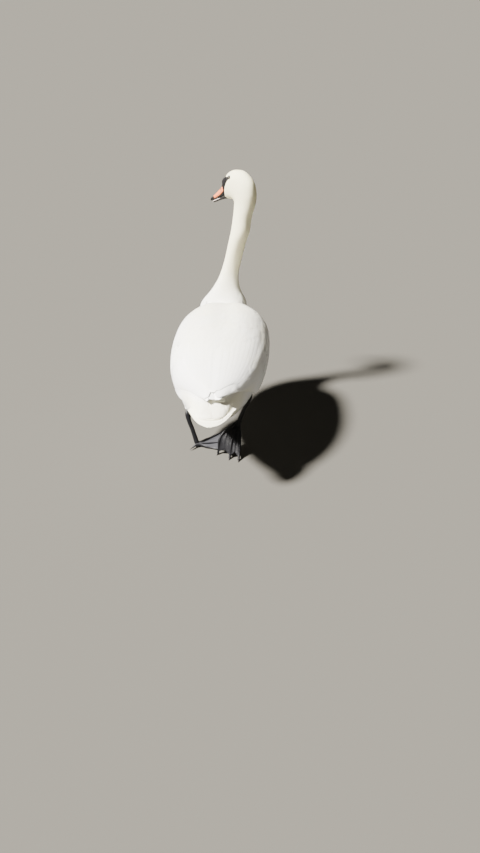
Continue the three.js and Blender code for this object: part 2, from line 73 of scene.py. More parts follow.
# Sections from rump to face: back y, back z, belly y, belly z, half width, seat.
SECTIONS = np.array([
    [-394, 329.5, -394, 312.5, 36, 0.5],
    [-366, 351.5, -371, 294.5, 54, 0.5],
    [-316, 384.5, -324, 261.5, 74, 0.5],
    [-251, 419.5, -256, 225.5, 98, 0.48],
    [-166, 451.5, -166, 191.5, 125, 0.48],
    [-71, 471.5, -66, 177.5, 146, 0.48],
    [19, 476, 34, 179.5, 148, 0.48],
    [89, 470.5, 129, 197.5, 141, 0.48],
    [139, 461.5, 204, 233.5, 126, 0.48],
    [168, 456.5, 254, 287.5, 108, 0.48],
    [184, 460.5, 277, 347.5, 91, 0.48],
    [195, 479, 281, 407.5, 81, 0.48],
    [202, 512.5, 276, 463.5, 53, 0.48],
    [205, 557, 266, 524.5, 34.5, 0.49],
    [200, 611, 256, 595.5, 30, 0.5],
    [189, 662.5, 248, 658.5, 30, 0.5],
    [175, 710.5, 241, 712.5, 30.5, 0.5],
    [175, 758.5, 240, 762.5, 30, 0.5],
    [170, 802, 244, 800, 32, 0.5],
    [167, 842, 246, 810, 32.5, 0.5],
    [178, 880, 251, 813, 32, 0.5],
    [210, 907, 257, 813.5, 30.5, 0.5],
    [245, 910, 264, 813.5, 28.5, 0.51],
    [270, 900, 272, 813.5, 25.5, 0.49],
    [285, 883, 280, 813, 20, 0.45],
    [293, 868, 286, 815, 14.5, 0.45],
])
FACE_END = len(SECTIONS) - 1
NECK_FROM, HEAD_FROM = 10, 18

# Wing arcs: y, radius sideways, up and down, middle z, from and to in degrees, thickness.
WING_ARCS = np.array([
    [180, 118, 92, 100, 365.5, 2, 34, 7],
    [156, 142, 112, 130, 361.5, -12, 56, 14],
    [104, 165, 127, 160, 357.5, -22, 72, 24],
    [29, 171, 134, 182, 355.5, -29, 79, 30],
    [-56, 170, 136, 187, 353.5, -29.5, 83, 32],
    [-136, 161, 127, 170, 350.5, -27, 87, 31],
    [-211, 140, 106, 130, 350.5, -18, 89.4, 26],
    [-271, 111, 80, 90, 353.5, -5, 89.4, 18],
    [-314, 82, 55, 60, 356.5, 8, 89, 12],
    [-348, 53, 34, 40, 359.5, 18, 87, 7],
    [-374, 32, 17, 20, 360.5, 36, 70, 3],
])
WING_SET = {"left": (-1, -4, 12), "right": (1, 5, 1)}  # side, lift, tuck
WING_RIM, WING_RIM_FADE, WING_SWELL, WING_POWER, WING_CLEAR = (9, 2.4), 1.6, 0.7, 0.9, 0.6

MANTLE_SPAN, MANTLE_VALLEY, MANTLE_TUCK = math.radians(72), 7, 4
# The valley's half width in radians, the arc numbers where valley and tuck fade, and how far
# aside the wing's own tuck sets in.
VALLEY_HALF, VALLEY_END, TUCK_END, PULL_FROM = 0.2, (6, 3), (1.0, 0.0), (0.1, 0.4)

TAIL_Y, TAIL_Z, TAIL_HALF = (-301, -427), (349, 309), (34, 73)
TAIL_ARCH, TAIL_FLARE, TAIL_ROUNDING = 6, 1.25, 0.6
FLARE_POWER, ROUNDING_POWER = 0.8, 2.2

# The bill in the head's frame: forward, top, bottom, half width.
BILL_UPPER = np.array([
    [30, -4, -34, 14],
    [42, -6, -37, 16],
    [54, -10.5, -39.5, 15.5],
    [67, -17, -41.5, 14.8],
    [82, -24, -43.5, 14.8],
    [96, -30, -45, 15.6],
    [106, -33.5, -44.7, 14.3],
    [112.5, -36.5, -44.9, 10.5],
    [116, -39.5, -44.6, 4.5],
])
BILL_LOWER = np.array([
    [32, -37, -50.5, 12.5],
    [44, -39.5, -52, 13.5],
    [58, -43, -51.5, 13],
    [74, -45.5, -51.8, 12.6],
    [90, -47.5, -52.8, 13],
    [100, -49.2, -53.8, 11.5],
    [105.5, -50.2, -53.6, 7.5],
    [108, -51, -53, 3],
])
TONGUE = np.array([
    [60, -41.6, -42.8, 3],
    [74, -43, -45.8, 9],
    [88, -44.5, -48, 11.5],
    [98, -45.3, -49.6, 12],
    [104, -46, -50.4, 10],
    [107, -47.4, -50.6, 5],
])
NAIL_FROM, BILL_ROUNDNESS = 104, 0.8
KNOB_AT, KNOB_HALF, KNOB_PITCH = (37, 3), (15.5, 11, 9.5), math.radians(38)
# Swellings that carry the knob into forehead, cheeks and bridge: forward, up, aside, half
# sizes along, up and across, and pitch.
KNOB_LOBES = [
    (25, 8.5, 0, (13, 7.5, 12), 0.5),
    (33, -3, 0, (12, 11, 11), 0.6),
    (33, -14, -8, (8, 17, 7.5), 0.15),
    (33, -14, 8, (8, 17, 7.5), 0.15),
    (42.5, -11.5, 0, (9, 6, 14.8), 0.5),
    (38, -31, -11.5, (7.5, 12, 5), 0.3),
    (38, -31, 11.5, (7.5, 12, 5), 0.3),
]

# How high the black edge of the upper bill reaches above its rim.
EDGE_FORWARD, EDGE_HIGH = [40, 52, 66, 84, 100], [15, 10.5, 7, 4.8, 4]

# The line on the head where feathers give way to bare black skin: forward for each height.
BARE_UP = [-62, -57, -51, -36, -24.5, -11, 0, 5, 11, 14.5, 17, 20, 25, 30]
BARE_FORWARD = [999, 56, 50, 38, 33.5, 23.5, 12, 5, 2, 5, 13, 25, 40, 999]
BARE_RING = (7.6, 6.4)  # half width and half height of the bare ring round the eye

LEGS = {
    "left": {
        "knee": (-62, 30, 270), "calf": (-96, 0, 208), "ankle": (-116, -48, 119),
        "knuckle": (-86, -66, 13), "across": (0.3, -0.95, 0), "hind": (-103, -86, 8),
        "bends": [(-33, -80, 3.6), (-16, -45, 3.6), (-38, -12, 3.6)],
        "tips": [(17, -92, 3), (52, -22, 3), (6, 30, 3)],
    },
    "right": {
        "knee": (62, 10, 292), "calf": (86, -26, 250), "ankle": (104, -62, 209),
        "knuckle": (67, -70, 115), "across": (-1, 0.1, 0), "hind": (50, -88, 104),
        "bends": [(3, -101, 70), (42, -113, 64), (70, -117, 62)],
        "tips": [(-9, -117, 3), (33, -145, 3), (65, -157, 3)],
    },
}
TOES = ("inner", "middle", "outer")
THIGH_RADIUS, THIGH_END, THIGH_POWER = (46, 12), 0.22, 0.8
SHANK_FULL = {"left": 1.0, "right": 1.32}  # multiples of the shank's width across
SHANK_HALF, ANKLE_AT, ANKLE_SWELL, ANKLE_SPREAD, KNUCKLE_SWELL = (8, 5.4), 0.27, 0.45, 0.09, 0.6
HEEL_RADIUS, HEEL_DROP = 9.5, 5
TOE_RADIUS, TOE_SWELL, HIND_RADIUS = (6, 3.8), 0.1, (4.5, 2.6)
WEB_THICK, WEB_FROM, WEB_REACH, WEB_HOLLOW = 1.8, 0.06, 0.93, 0.13
CLAW_LENGTH, CLAW_ROOT, CLAW_RADIUS, CLAW_POINT = 13, 3, (3.2, 2.3), 0.6
CLAW_TIP_Z, CLAW_CLEAR = 1.3, 0.5

# The depth of the coat along the body, from rump to face, at these section numbers.
COAT_AT = [0, 8, 11, 14, 18, 20, 23, 25]
COAT_DEPTH = [6, 6, 5, 3.0, 2.2, 1.6, 1.0, 0.7]
WING_COAT = 5.0

# The coat's spacing on body, neck and head, as rows of section number and share of the full
# spacing.
BODY_GROWTH = ([0, 3, 8, 10.3], [1.25, 1.15, 0.95, 0.7])
NECK_GROWTH = ([10, 12, 14, 18.4], [1.6, 1.3, 1, 0.8])
HEAD_GROWTH = ([18, 20, 23, 25], [1.35, 1.15, 0.85, 0.75])
# The spacing in millimetres by arc number on wings and mantle, and at both ends of the thighs.
WING_GROWTH = ([0, 1, 2.9], [9.5, 11, 15])
MANTLE_GROWTH = ([0, 1.5, 4], [8.5, 13, 19])
THIGH_GROWTH = (8.5, 3.6)
# How deep roots lie, as a share of the coat's depth.
BODY_SINK, HEAD_SINK = 0.38, 0.5
# Seed, roughness of the coverts, and how far the lowest tips are pressed down.
WING_LAY = {"left": (41, 0.6, 4.0), "right": (43, 1.0, 0)}
# Body feathers are left out this far inside a wing's arc, in degrees, and between these y.
HIDDEN_MARGIN, HIDDEN_Y = (7, 5), (-290, 165)
# The bend of the breast over the wings' front edge: its height, the y where it starts and ends,
# the angles about the wing where it starts and ends, and that angle's centre and half sizes.
BEND_HIGH, BEND_START, BEND_END = 7.5, (206, 186), (118, 150)
BEND_LOW, BEND_TOP, BEND_Z, BEND_HALF = (-34, -18), (72, 56), 362, (135, 110)
# Where the loose feathers of the right wing end: arc numbers and places across the wing.
LOOSE_AT = [2.9, 3.4, 5.3, 6.05, 7.1, 8, 9]
LOOSE_EDGE = [0.60, 0.58, 0.53, 0.44, 0.35, 0.18, 0.12]
# Arc numbers of the left wing's rear edge, from which the rump's skirt hangs.
SKIRT_SPAN, SKIRT_COUNT, SKIRT_FADE = (5.2, 9.9), 34, (9.6, 8.2)

# How far the skin closes past its end sections, and its depth on thighs and inside the wings.
CAP_REACH, THIGH_COAT, WING_CORE = 0.98, 3.0, 6
CAP_BULGE, FAN_UV = 10, 0.002  # length of the closed ends, and of the end fans in the unwrap
# The hollow round the eye: half width, half height, depth, and how far out it starts.
EYE_HOLLOW, HOLLOW_FROM = (8.5, 7, 3.2), (8, 14)
# The coat's depth on bare skin, and the soft edges of the feather line and of the eye's ring.
BARE_COAT, BARE_EDGE, RING_EDGE = 0.4, 0.8, (1.08, 0.95)
# The lid's profile from the eyeball outwards: share of the opening, and height over the ball.
LID_PROFILE = np.array([
    [0.86, -0.9], [0.93, -0.1], [0.97, 0.45], [1.03, 0.75], [1.10, 0.7], [1.2, 0.35],
    [1.36, -0.1], [1.6, -0.9], [1.75, -2.6], [1.2, -3.4], [0.92, -2.2],
])
LID_HALF = (5.1, 4.3)  # of the opening, across and up
NOSTRIL_AT, NOSTRIL_HALF = (58.5, -15.8), (6.0, 2.4)  # forward and up, along and across
WELD_SIZE, KNOB_ROUNDS, LEG_ROUNDS = 0.0009, 36, 4  # grid in metres, rounds of smoothing

# Light: the sky's strength at the horizon and overhead, the heights between which it falls,
# its colour, and the sun's strength, width and colour.
HORIZON, ZENITH, SKY_FALL, SKY_COLOUR = 0.58, 0.13, (0.04, 0.30), (1.0, 0.97, 0.90)
SUN_STRENGTH, SUN_WIDTH, SUN_COLOUR = 34, math.radians(7), (1, 0.965, 0.91)
FLOOR_HALF, FLOOR_CORNERS = 160.0, [(-1, -1), (1, -1), (1, 1), (-1, 1)]
PUPIL, BARB_PITCH = (0.004, 0.004, 0.005), 1.3  # a colour, and millimetres between barbs


# ---------------------------------------------------------------- shared arithmetic
def spline(rows, at):
    """Catmull-Rom: each column of rows read at fractional row numbers, ends repeated."""
    rows = np.asarray(rows, float)
    last = len(rows) - 1
    at = np.asarray(at, float)
    i = np.clip(np.floor(at).astype(int), 0, last - 1)
    t = (at - i).reshape(at.shape + (1,) * (rows.ndim - 1))
    a, b, c, d = (rows[np.clip(i + k, 0, last)] for k in (-1, 0, 1, 2))
    return 0.5 * (
        2 * b + t * (c - a + t * (2 * a - 5 * b + 4 * c - d + t * (3 * b - 3 * c + d - a)))
    )


def smooth(edge0, edge1, value):
    """Smoothstep from 0 at edge0 to 1 at edge1."""
    t = np.clip((value - edge0) / (edge1 - edge0), 0, 1)
    return t * t * (3 - 2 * t)


def mix(a, b, t):
    """The straight line from a to b at t."""
    return a + (b - a) * t


def squared(value, power):
    """A sine drawn towards a square wave: its size to a power, its sign kept."""
    return np.sign(value) * np.abs(value) ** power


def unit(vectors):
    """Vectors over their lengths."""
    return vectors / np.maximum(np.linalg.norm(vectors, axis=-1, keepdims=True), 1e-9)


def posed(x, y, z):
    """A point of the straight bird: shifted sideways with y and z, then turned about the neck's
    upright line and leaned by amounts read along the neck's height."""
    x, y, z = np.broadcast_arrays(*(np.asarray(v, float) for v in (x, y, z)))
    at = np.clip((z - NECK_Z[0]) / (NECK_Z[1] - NECK_Z[0]), 0, 1) * (len(NECK_LEAN) - 1)
    angle = np.radians(spline(NECK_TURN, at))
    bend = YAW * np.minimum(y, YAW_END_Y) + ROLL * (np.minimum(z, ROLL_END_Z) - ROLL_Z)
    ahead = y - NECK_AXIS_Y
    return np.stack([
        x * np.cos(angle) - ahead * np.sin(angle) + bend + spline(NECK_LEAN, at),
        NECK_AXIS_Y + x * np.sin(angle) + ahead * np.cos(angle),
        z,
    ], -1)


def head_point(f, x, u):
    """A point in the head's own frame: f forward, x to the right, u up, pitched then posed."""
    c, s = math.cos(HEAD_PITCH), math.sin(HEAD_PITCH)
    return posed(x, FACE_Y + f * c + u * s, FACE_Z - f * s + u * c)


def head_axes(y, z):
    """Forward and up in the head's frame of straight points, the pitch undone."""
    c, s = math.cos(HEAD_PITCH), math.sin(HEAD_PITCH)
    return (y - FACE_Y) * c - (z - FACE_Z) * s, (y - FACE_Y) * s + (z - FACE_Z) * c


def frame_shift():
    """The step from the bird's frame to the part's: where the left eye is less where it began."""
    low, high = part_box("eye_left")
    centre = (np.array(low) + np.array(high)) / 2 / MM
    return centre - head_point(EYE_AT[0], -EYE_AT[1], EYE_AT[2])


SHIFT = frame_shift() * [1, 1, 0]


def metres(points):
    """Bird millimetres as metres in the part's frame."""
    return (np.asarray(points, float) + SHIFT) * MM


def curve(points, at):
    """A centripetal Catmull-Rom curve through points, with its ends mirrored outwards."""
    p = np.asarray(points, float)
    p = np.vstack([2 * p[0] - p[1], p, 2 * p[-1] - p[-2]])
    last = len(points) - 1
    place = np.clip(np.asarray(at, float), 0, 1) * last
    i = np.minimum(np.floor(place).astype(int), last - 1)
    t = (place - i)[..., None]
    x0, x1, x2, x3 = (p[i + k] for k in range(4))
    d0, d1, d2 = (
        np.sqrt(np.linalg.norm(b - a, axis=-1, keepdims=True))
        for a, b in ((x0, x1), (x1, x2), (x2, x3))
    )
    m1 = d1 * ((x1 - x0) / d0 - (x2 - x0) / (d0 + d1) + (x2 - x1) / d1)
    m2 = d1 * ((x2 - x1) / d1 - (x3 - x1) / (d1 + d2) + (x3 - x2) / d2)
    return x1 + t * (m1 + t * (-3 * x1 + 3 * x2 - 2 * m1 - m2 + t * (2 * x1 - 2 * x2 + m1 + m2)))


def heading(points, at):
    """The unit direction of curve() by a small central step."""
    return unit(curve(points, np.asarray(at) + 1e-3) - curve(points, np.asarray(at) - 1e-3))


# ---------------------------------------------------------------- the body's surfaces
def bird_straight(at, a, inset=0):
    """The straight body: an ellipse-like ring for each section number, whose radii shrink by
    inset. Past either end the ring closes as a half ellipse."""
    at, a = np.broadcast_arrays(np.asarray(at, float), np.asarray(a, float))
    s = spline(SECTIONS, np.clip(at, 0, FACE_END))
    past = np.where(at < 0, at, np.maximum(at - FACE_END, 0))
    shrink = np.sqrt(np.clip(1 - past**2, 0, 1))
    by, bz, ly, lz, half, seat = np.moveaxis(s, -1, 0)
    depth = np.hypot(by - ly, bz - lz)
    uy, uz = (by - ly) / depth, (bz - lz) / depth
    cy, cz = mix(ly, by, seat), mix(lz, bz, seat)
    x = (half - inset) * shrink * squared(np.cos(a), SECTION_POWER)
    reach = depth * np.where(np.sin(a) > 0, 1 - seat, seat) - inset
    h = reach * shrink * squared(np.sin(a), SECTION_POWER)
    push = past * CAP_BULGE
    return np.stack([x, cy + uy * h + uz * push, cz + uz * h - uy * push], -1)


def bare_skin(points):
    """1 on the bare black skin between eye and bill and round the eye, 0 on feathered skin, from
    the head's forward distance past the feather line and an ellipse about the eye."""
    f, u = head_axes(points[..., 1], points[..., 2])
    lore = smooth(-BARE_EDGE, BARE_EDGE, f - np.interp(u, BARE_UP, BARE_FORWARD))
    ring = np.hypot((f - EYE_AT[0]) / BARE_RING[0], (u - EYE_AT[2]) / BARE_RING[1])
    return np.maximum(lore, smooth(*RING_EDGE, ring))


def coat_depth(at):
    """The coat's depth at section numbers, by straight lines between the table's values."""
    return np.interp(at, COAT_AT, COAT_DEPTH)


def bird_skin(at, a):
    """The skin: the body's ring inset by the coat, which thins out on bare skin, with a hollow
    round each eye."""
    bare = bare_skin(bird_straight(at, a))
    inset = mix(coat_depth(at), BARE_COAT, bare)
    p = bird_straight(at, a, inset)
    f, u = head_axes(p[..., 1], p[..., 2])
    wide, high, depth = EYE_HOLLOW
    near = np.exp(-(((f - EYE_AT[0]) / wide) ** 2 + ((u - EYE_AT[2]) / high) ** 2) ** 2)
    near = near * smooth(*HOLLOW_FROM, np.abs(p[..., 0])) * (at > HEAD_FROM)
    p = bird_straight(at, a, inset + depth * near)
    return posed(*np.moveaxis(p, -1, 0)), bare


def wing_surface(side, lift, tuck, k, v, inset=0):
    """The wing's outer face: for arc number k an ellipse arc from its lower edge, v = 0, to its
    upper, v = 1, whose radii shrink by inset."""
    k, v = np.broadcast_arrays(np.asarray(k, float), np.asarray(v, float))
    s = spline(WING_ARCS, np.clip(k, 0, len(WING_ARCS) - 1))
    y, r_side, r_up, r_down, z, start, end, _ = np.moveaxis(s, -1, 0)
    a = np.radians(mix(start, end, v))
    reach = (r_side - inset) * np.maximum(np.cos(a), 0) ** WING_POWER - tuck * (1 - v) ** 2
    rise = (np.where(a > 0, r_up, r_down) - inset) * np.sin(a) + lift * (1 - v)
    return posed(side * np.maximum(reach, WING_CLEAR), y, z + rise)


def wing_depth(k, v):
    """The wing's thickness: a rim that thins upwards plus a swell over the middle."""
    s = spline(WING_ARCS, np.clip(k, 0, len(WING_ARCS) - 1))
    thick = s[..., 7]
    rim = mix(np.minimum(WING_RIM[0], thick), WING_RIM[1], np.minimum(1, WING_RIM_FADE * v))
    return rim + thick * np.maximum(1 - (2 * v - 1) ** 2, 0) ** WING_SWELL


def under_wing(points):
    """True where a straight body point lies well inside either wing's arc."""
    x, y, z = np.moveaxis(points, -1, 0)
    k = np.interp(-y, -WING_ARCS[:, 0], np.arange(len(WING_ARCS)))
    s = spline(WING_ARCS, k)
    radius = np.where(z > s[..., 4], s[..., 2], s[..., 3])
    a = np.degrees(np.arctan2((z - s[..., 4]) / radius, np.abs(x) / s[..., 1]))
    inside = (a > s[..., 5] + HIDDEN_MARGIN[0]) & (a < s[..., 6] - HIDDEN_MARGIN[1])
    return inside & (y > HIDDEN_Y[0]) & (y < HIDDEN_Y[1])


def mantle_surface(k, q):
    """The back over both wings: for arc number k the wings' arcs carried on to the middle line,
    q = -1 at the left to 1 at the right, with a shallow valley along the middle."""
    k, q = np.broadcast_arrays(np.asarray(k, float), np.asarray(q, float))
    s = spline(WING_ARCS, np.clip(k, 0, len(WING_ARCS) - 1))
    y, r_side, r_up, _, z, start, end, _ = np.moveaxis(s, -1, 0)
    lean = q * MANTLE_SPAN
    v = np.clip((90 - np.degrees(np.abs(lean)) - start) / (end - start), 0, 1)
    lift = np.where(q < 0, WING_SET["left"][1], WING_SET["right"][1]) * (1 - v)
    valley = MANTLE_VALLEY * np.exp(-((lean / VALLEY_HALF) ** 2)) * smooth(*VALLEY_END, k)
    rise = r_up * np.cos(lean) + lift - valley - MANTLE_TUCK * smooth(*TUCK_END, k)
    tuck = np.where(q < 0, WING_SET["left"][2], WING_SET["right"][2]) * (1 - v) ** 2
    pull = np.sign(q) * tuck * smooth(*PULL_FROM, np.abs(q))
    reach = r_side * squared(np.sin(lean), WING_POWER) - pull
    return posed(reach, y, z + rise)


def wing_bend(points):
    """How far breast feathers rise to lie over the wing's front edge, by distance ahead of it."""
    x, y, z = np.moveaxis(points, -1, 0)
    a = np.degrees(np.arctan2((z - BEND_Z) / BEND_HALF[1], np.abs(x) / BEND_HALF[0]))
    ahead = smooth(*BEND_START, y) * smooth(*BEND_END, y)
    return BEND_HIGH * ahead * smooth(*BEND_LOW, a) * smooth(*BEND_TOP, a)


def tail_surface(v, w):
    """The tail's middle sheet: v from root to tip, w from side to side, an arched strip whose
    sides end early, so that the tip is round."""
    v, w = np.broadcast_arrays(np.asarray(v, float), np.asarray(w, float))
    reach = v - TAIL_ROUNDING * v * v * np.abs(w) ** ROUNDING_POWER
    widest = mix(*TAIL_HALF, np.minimum(1, np.abs(v) * TAIL_FLARE) ** FLARE_POWER)
    z = mix(*TAIL_Z, reach) - TAIL_ARCH * w * w
    return posed(w * widest, mix(*TAIL_Y, reach), z)


def leg_points(name):
    """The named leg's joints as arrays."""
    return {key: np.array(at, float) for key, at in LEGS[name].items()}


def thigh_line(leg):
    """The thigh's middle line: knee, calf, and the end above the ankle."""
    return [leg["knee"], leg["calf"], mix(leg["ankle"], leg["calf"], THIGH_END)]


def tube(points, radius, at, a):
    """A round tube: the curve plus its radius times the cosine and sine of a, along the level
    direction across it and the one above."""
    centre, way = curve(points, at), heading(points, at)
    side = unit(np.cross(way, [0, 0, 1.0]))
    up = np.cross(side, way)
    r = np.asarray(radius)[..., None]
    return centre + r * (np.cos(a)[..., None] * side + np.sin(a)[..., None] * up)


def thigh_surface(leg, at, a, inset=0):
    """The thigh as a tube whose radius falls from belly to ankle as a cosine to a power."""
    at, a = np.broadcast_arrays(np.asarray(at, float), np.asarray(a, float))
    fall = np.maximum(np.cos(np.clip(at, 0, 1) * math.pi / 2), 0) ** THIGH_POWER
    return tube(thigh_line(leg), mix(THIGH_RADIUS[1], THIGH_RADIUS[0], fall) - inset, at, a)


# ---------------------------------------------------------------- meshes
class Shape:
    """Vertices in bird millimetres, faces with their corner UVs, and point attributes."""

    def __init__(self, points, faces, uv, **point):
        self.points = np.asarray(points, float).reshape(-1, 3)
        self.faces, self.uv = list(faces), list(uv)
        self.point = {key: np.asarray(value, float).ravel() for key, value in point.items()}

    def join(self, other):
        """Both shapes as one, the other's faces counted on from this one's points."""
        step = len(self.points)
        self.points = np.vstack([self.points, other.points])
        self.faces += [faces + step for faces in other.faces]
        self.uv += other.uv
        for key in self.point:
            extra = other.point.get(key, np.zeros(len(other.points)))
            self.point[key] = np.concatenate([self.point[key], extra])
        return self


def column(start, end, count):
    """Even steps as a column, one for each ring of a grid."""
    return np.linspace(start, end, count)[:, None]


def row(start, end, count):
    """Even steps as a row, one for each place in a ring."""
    return np.linspace(start, end, count)[None, :]


def angles(count):
    """A full turn in even steps, as a row."""
    return np.linspace(0, 2 * math.pi, count, endpoint=False)[None, :]


def grid_quads(n, m, closed=False):
    """The quads between n rings of m points, wrapped round, and from the last ring to the first
    when closed: corner numbers, then the ring and the place in it of each corner."""
    i, j = (v.ravel() for v in np.indices((n if closed else n - 1, m)))
    rings, places = np.stack([i, i, i + 1, i + 1], -1), np.stack([j, j + 1, j + 1, j], -1)
    return rings % n * m + places % m, rings, places


def closed_grid(rings, flip=False, box=(0, 0, 1, 1), **point):
    """A closed surface from rings (n, m, 3): quads between them, wrapped round, and a fan about
    the middle of each end. box is the part of the unwrap that it takes."""
    rings = np.asarray(rings, float)
    n, m = rings.shape[:2]
    quads, ring_at, place_at = grid_quads(n, m)
    j = np.arange(m)
    k = (j + 1) % m
    top = (n - 1) * m
    start = np.stack([np.full(m, n * m), k, j], -1)
    end = np.stack([np.full(m, n * m + 1), top + j, top + k], -1)
    fan = np.stack([j + 0.5, j + 1, j], -1) / m
    fan_end = np.stack([j + 0.5, j, j + 1], -1) / m
    first, final = [0, FAN_UV, FAN_UV], [1, 1 - FAN_UV, 1 - FAN_UV]
    uv_start = np.stack([fan, np.broadcast_to(first, fan.shape)], -1)
    uv_end = np.stack([fan_end, np.broadcast_to(final, fan.shape)], -1)
    faces = [quads, start, end]
    uv = [np.stack([place_at / m, ring_at / (n - 1)], -1), uv_start, uv_end]
    if flip:
        faces = [f[:, ::-1] for f in faces]
        uv = [t[:, ::-1] for t in uv]
    low, size = np.array(box[:2]), np.array(box[2:]) - np.array(box[:2])
    uv = [low + t * size for t in uv]
    points = np.vstack([rings.reshape(-1, 3), rings[0].mean(0), rings[-1].mean(0)])
    full = {}
    for key, value in point.items():
        value = np.broadcast_to(value, (n, m))
        full[key] = np.concatenate([value.ravel(), [value[0].mean(), value[-1].mean()]])
    return Shape(points, faces, uv, **full)


def add_object(name, data):
    """A new object for the data, in the scene."""
    made = bpy.data.objects.new(name, data)
    bpy.context.scene.collection.objects.link(made)
    return made


def make_piece(name, shape, material, nodes=(), extra_uv=None):
    """Puts a shape into a new object's mesh with its OFBake map and attributes, smooth shaded,
    sets it on the root and hides the parts it replaces."""
    mesh = bpy.data.meshes.new(name)
    points = metres(shape.points)
    sizes = np.concatenate([np.full(len(f), f.shape[1]) for f in shape.faces])
    corners = np.concatenate([f.ravel() for f in shape.faces]).astype(np.int32)
    starts = np.concatenate([[0], np.cumsum(sizes)[:-1]]).astype(np.int32)
    mesh.vertices.add(len(points))
    mesh.vertices.foreach_set("co", points.astype(np.float32).ravel())
    mesh.loops.add(len(corners))
    mesh.loops.foreach_set("vertex_index", corners)
    mesh.polygons.add(len(sizes))
    mesh.polygons.foreach_set("loop_start", starts)
    mesh.polygons.foreach_set("loop_total", sizes.astype(np.int32))
    mesh.update(calc_edges=True)
    mesh.polygons.foreach_set("use_smooth", np.ones(len(sizes), bool))
    bake = mesh.uv_layers.new(name="OFBake")
    uv = np.concatenate([t.reshape(-1, 2) for t in shape.uv]).astype(np.float32)
    bake.data.foreach_set("uv", uv.ravel())
    rim = shape.point.pop("rim", None)
    for key, value in shape.point.items():
        layer = mesh.attributes.new(key, "FLOAT", "POINT")
        layer.data.foreach_set("value", value.astype(np.float32))
    if extra_uv is not None:
        own = mesh.uv_layers.new(name="Vane")
        own.data.foreach_set("uv", extra_uv[corners].astype(np.float32).ravel())
    mesh.uv_layers.active = bake
    mesh.validate()
    if rim is not None:
        # Feather faces shade on their own up to their thin rims.
        ends = np.empty(2 * len(mesh.edges), np.int32)
        mesh.edges.foreach_get("vertices", ends)
        mesh.edges.foreach_set("use_edge_sharp", (rim[ends].reshape(-1, 2) > 0.5).all(1))
    mesh.materials.append(material)
    piece = add_object(name, mesh)
    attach(piece, "root")
    if nodes:
        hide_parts(*nodes)
    return piece


# ---------------------------------------------------------------- feathers
class Chart:
    """A surface sampled on an even grid of p along the body and q across it. Read between its
    points by straight lines, it gives places, outward normals and the length of a step."""

    def __init__(self, place, p_range, q_range, counts, wrap=False, out=1, along=1):
        self.low = np.array([p_range[0], q_range[0]], float)
        self.count, self.wrap, self.out, self.along = counts, wrap, out, along
        n, m = counts
        self.step = np.array([
            (p_range[1] - p_range[0]) / (n - 1),
            (q_range[1] - q_range[0]) / (m if wrap else m - 1),
        ])
        p = self.low[0] + self.step[0] * np.arange(n)[:, None]
        q = self.low[1] + self.step[1] * np.arange(m)[None, :]
        self.p, self.q = np.broadcast_arrays(p, q)
        place_at = place(self.p, self.q)
        dp = np.gradient(place_at, self.step[0], axis=0)
        if wrap:
            dq = (np.roll(place_at, -1, 1) - np.roll(place_at, 1, 1)) / (2 * self.step[1])
        else:
            dq = np.gradient(place_at, self.step[1], axis=1)
        normal = np.cross(dp, dq)
        self.area = np.linalg.norm(normal, axis=-1) * self.step[0] * self.step[1]
        lengths = np.stack([np.linalg.norm(dp, axis=-1), np.linalg.norm(dq, axis=-1)], -1)
        self.table = np.concatenate([place_at, out * unit(normal), np.maximum(lengths, 1e-3)], -1)

    def read(self, p, q):
        """Place, normal, and millimetres for one step of p and of q, by weights of the four
        grid points about."""
        n, m = self.count
        i = np.clip((p - self.low[0]) / self.step[0], 0, n - 1.001)
        j = (q - self.low[1]) / self.step[1]
        j = np.mod(j, m) if self.wrap else np.clip(j, 0, m - 1.001)
        i0, j0 = np.floor(i).astype(int), np.floor(j).astype(int) % m
        fi, fj = (i - i0)[..., None], (j - np.floor(j))[..., None]
        j1 = (j0 + 1) % m if self.wrap else j0 + 1
        t = self.table
        row0 = t[i0, j0] * (1 - fj) + t[i0, j1] * fj
        row1 = t[i0 + 1, j0] * (1 - fj) + t[i0 + 1, j1] * fj
        got = row0 * (1 - fi) + row1 * fi
        return got[..., :3], unit(got[..., 3:6]), got[..., 6], got[..., 7]

    def scatter(self, spacing, keep, seed):
        """Roots spread so that each has spacing squared of area: a golden sequence pushed
        through the running sums of area over spacing squared, where keep is true."""
        weight = np.where(keep, self.area / spacing**2, 0)
        rows = weight.sum(1)
        count = int(rows.sum())
        number = np.arange(count) + 1 + seed
        one, two = (number * 0.7548776662466927) % 1, (number * 0.5698402909980532) % 1
        total = np.concatenate([[0], np.cumsum(rows)]) / rows.sum()
        i = np.clip(np.searchsorted(total, one, "right") - 1, 0, len(rows) - 1)
        inside = (one - total[i]) / np.maximum(total[i + 1] - total[i], 1e-12)
        share = np.cumsum(weight, 1) / np.maximum(rows[:, None], 1e-12)
        flat = (share + np.arange(len(rows))[:, None]).ravel()
        spot = np.searchsorted(flat, i + two * 0.999999, "right")
        j = np.clip(spot - i * self.count[1], 0, self.count[1] - 1)
        before = np.where(j > 0, share[i, np.maximum(j - 1, 0)], 0)
        fraction = (two - before) / np.maximum(share[i, j] - before, 1e-12)
        q = self.low[1] + self.step[1] * (j - 0.5 + np.clip(fraction, 0, 1))
        return self.low[0] + self.step[0] * (i - 0.5 + inside), q


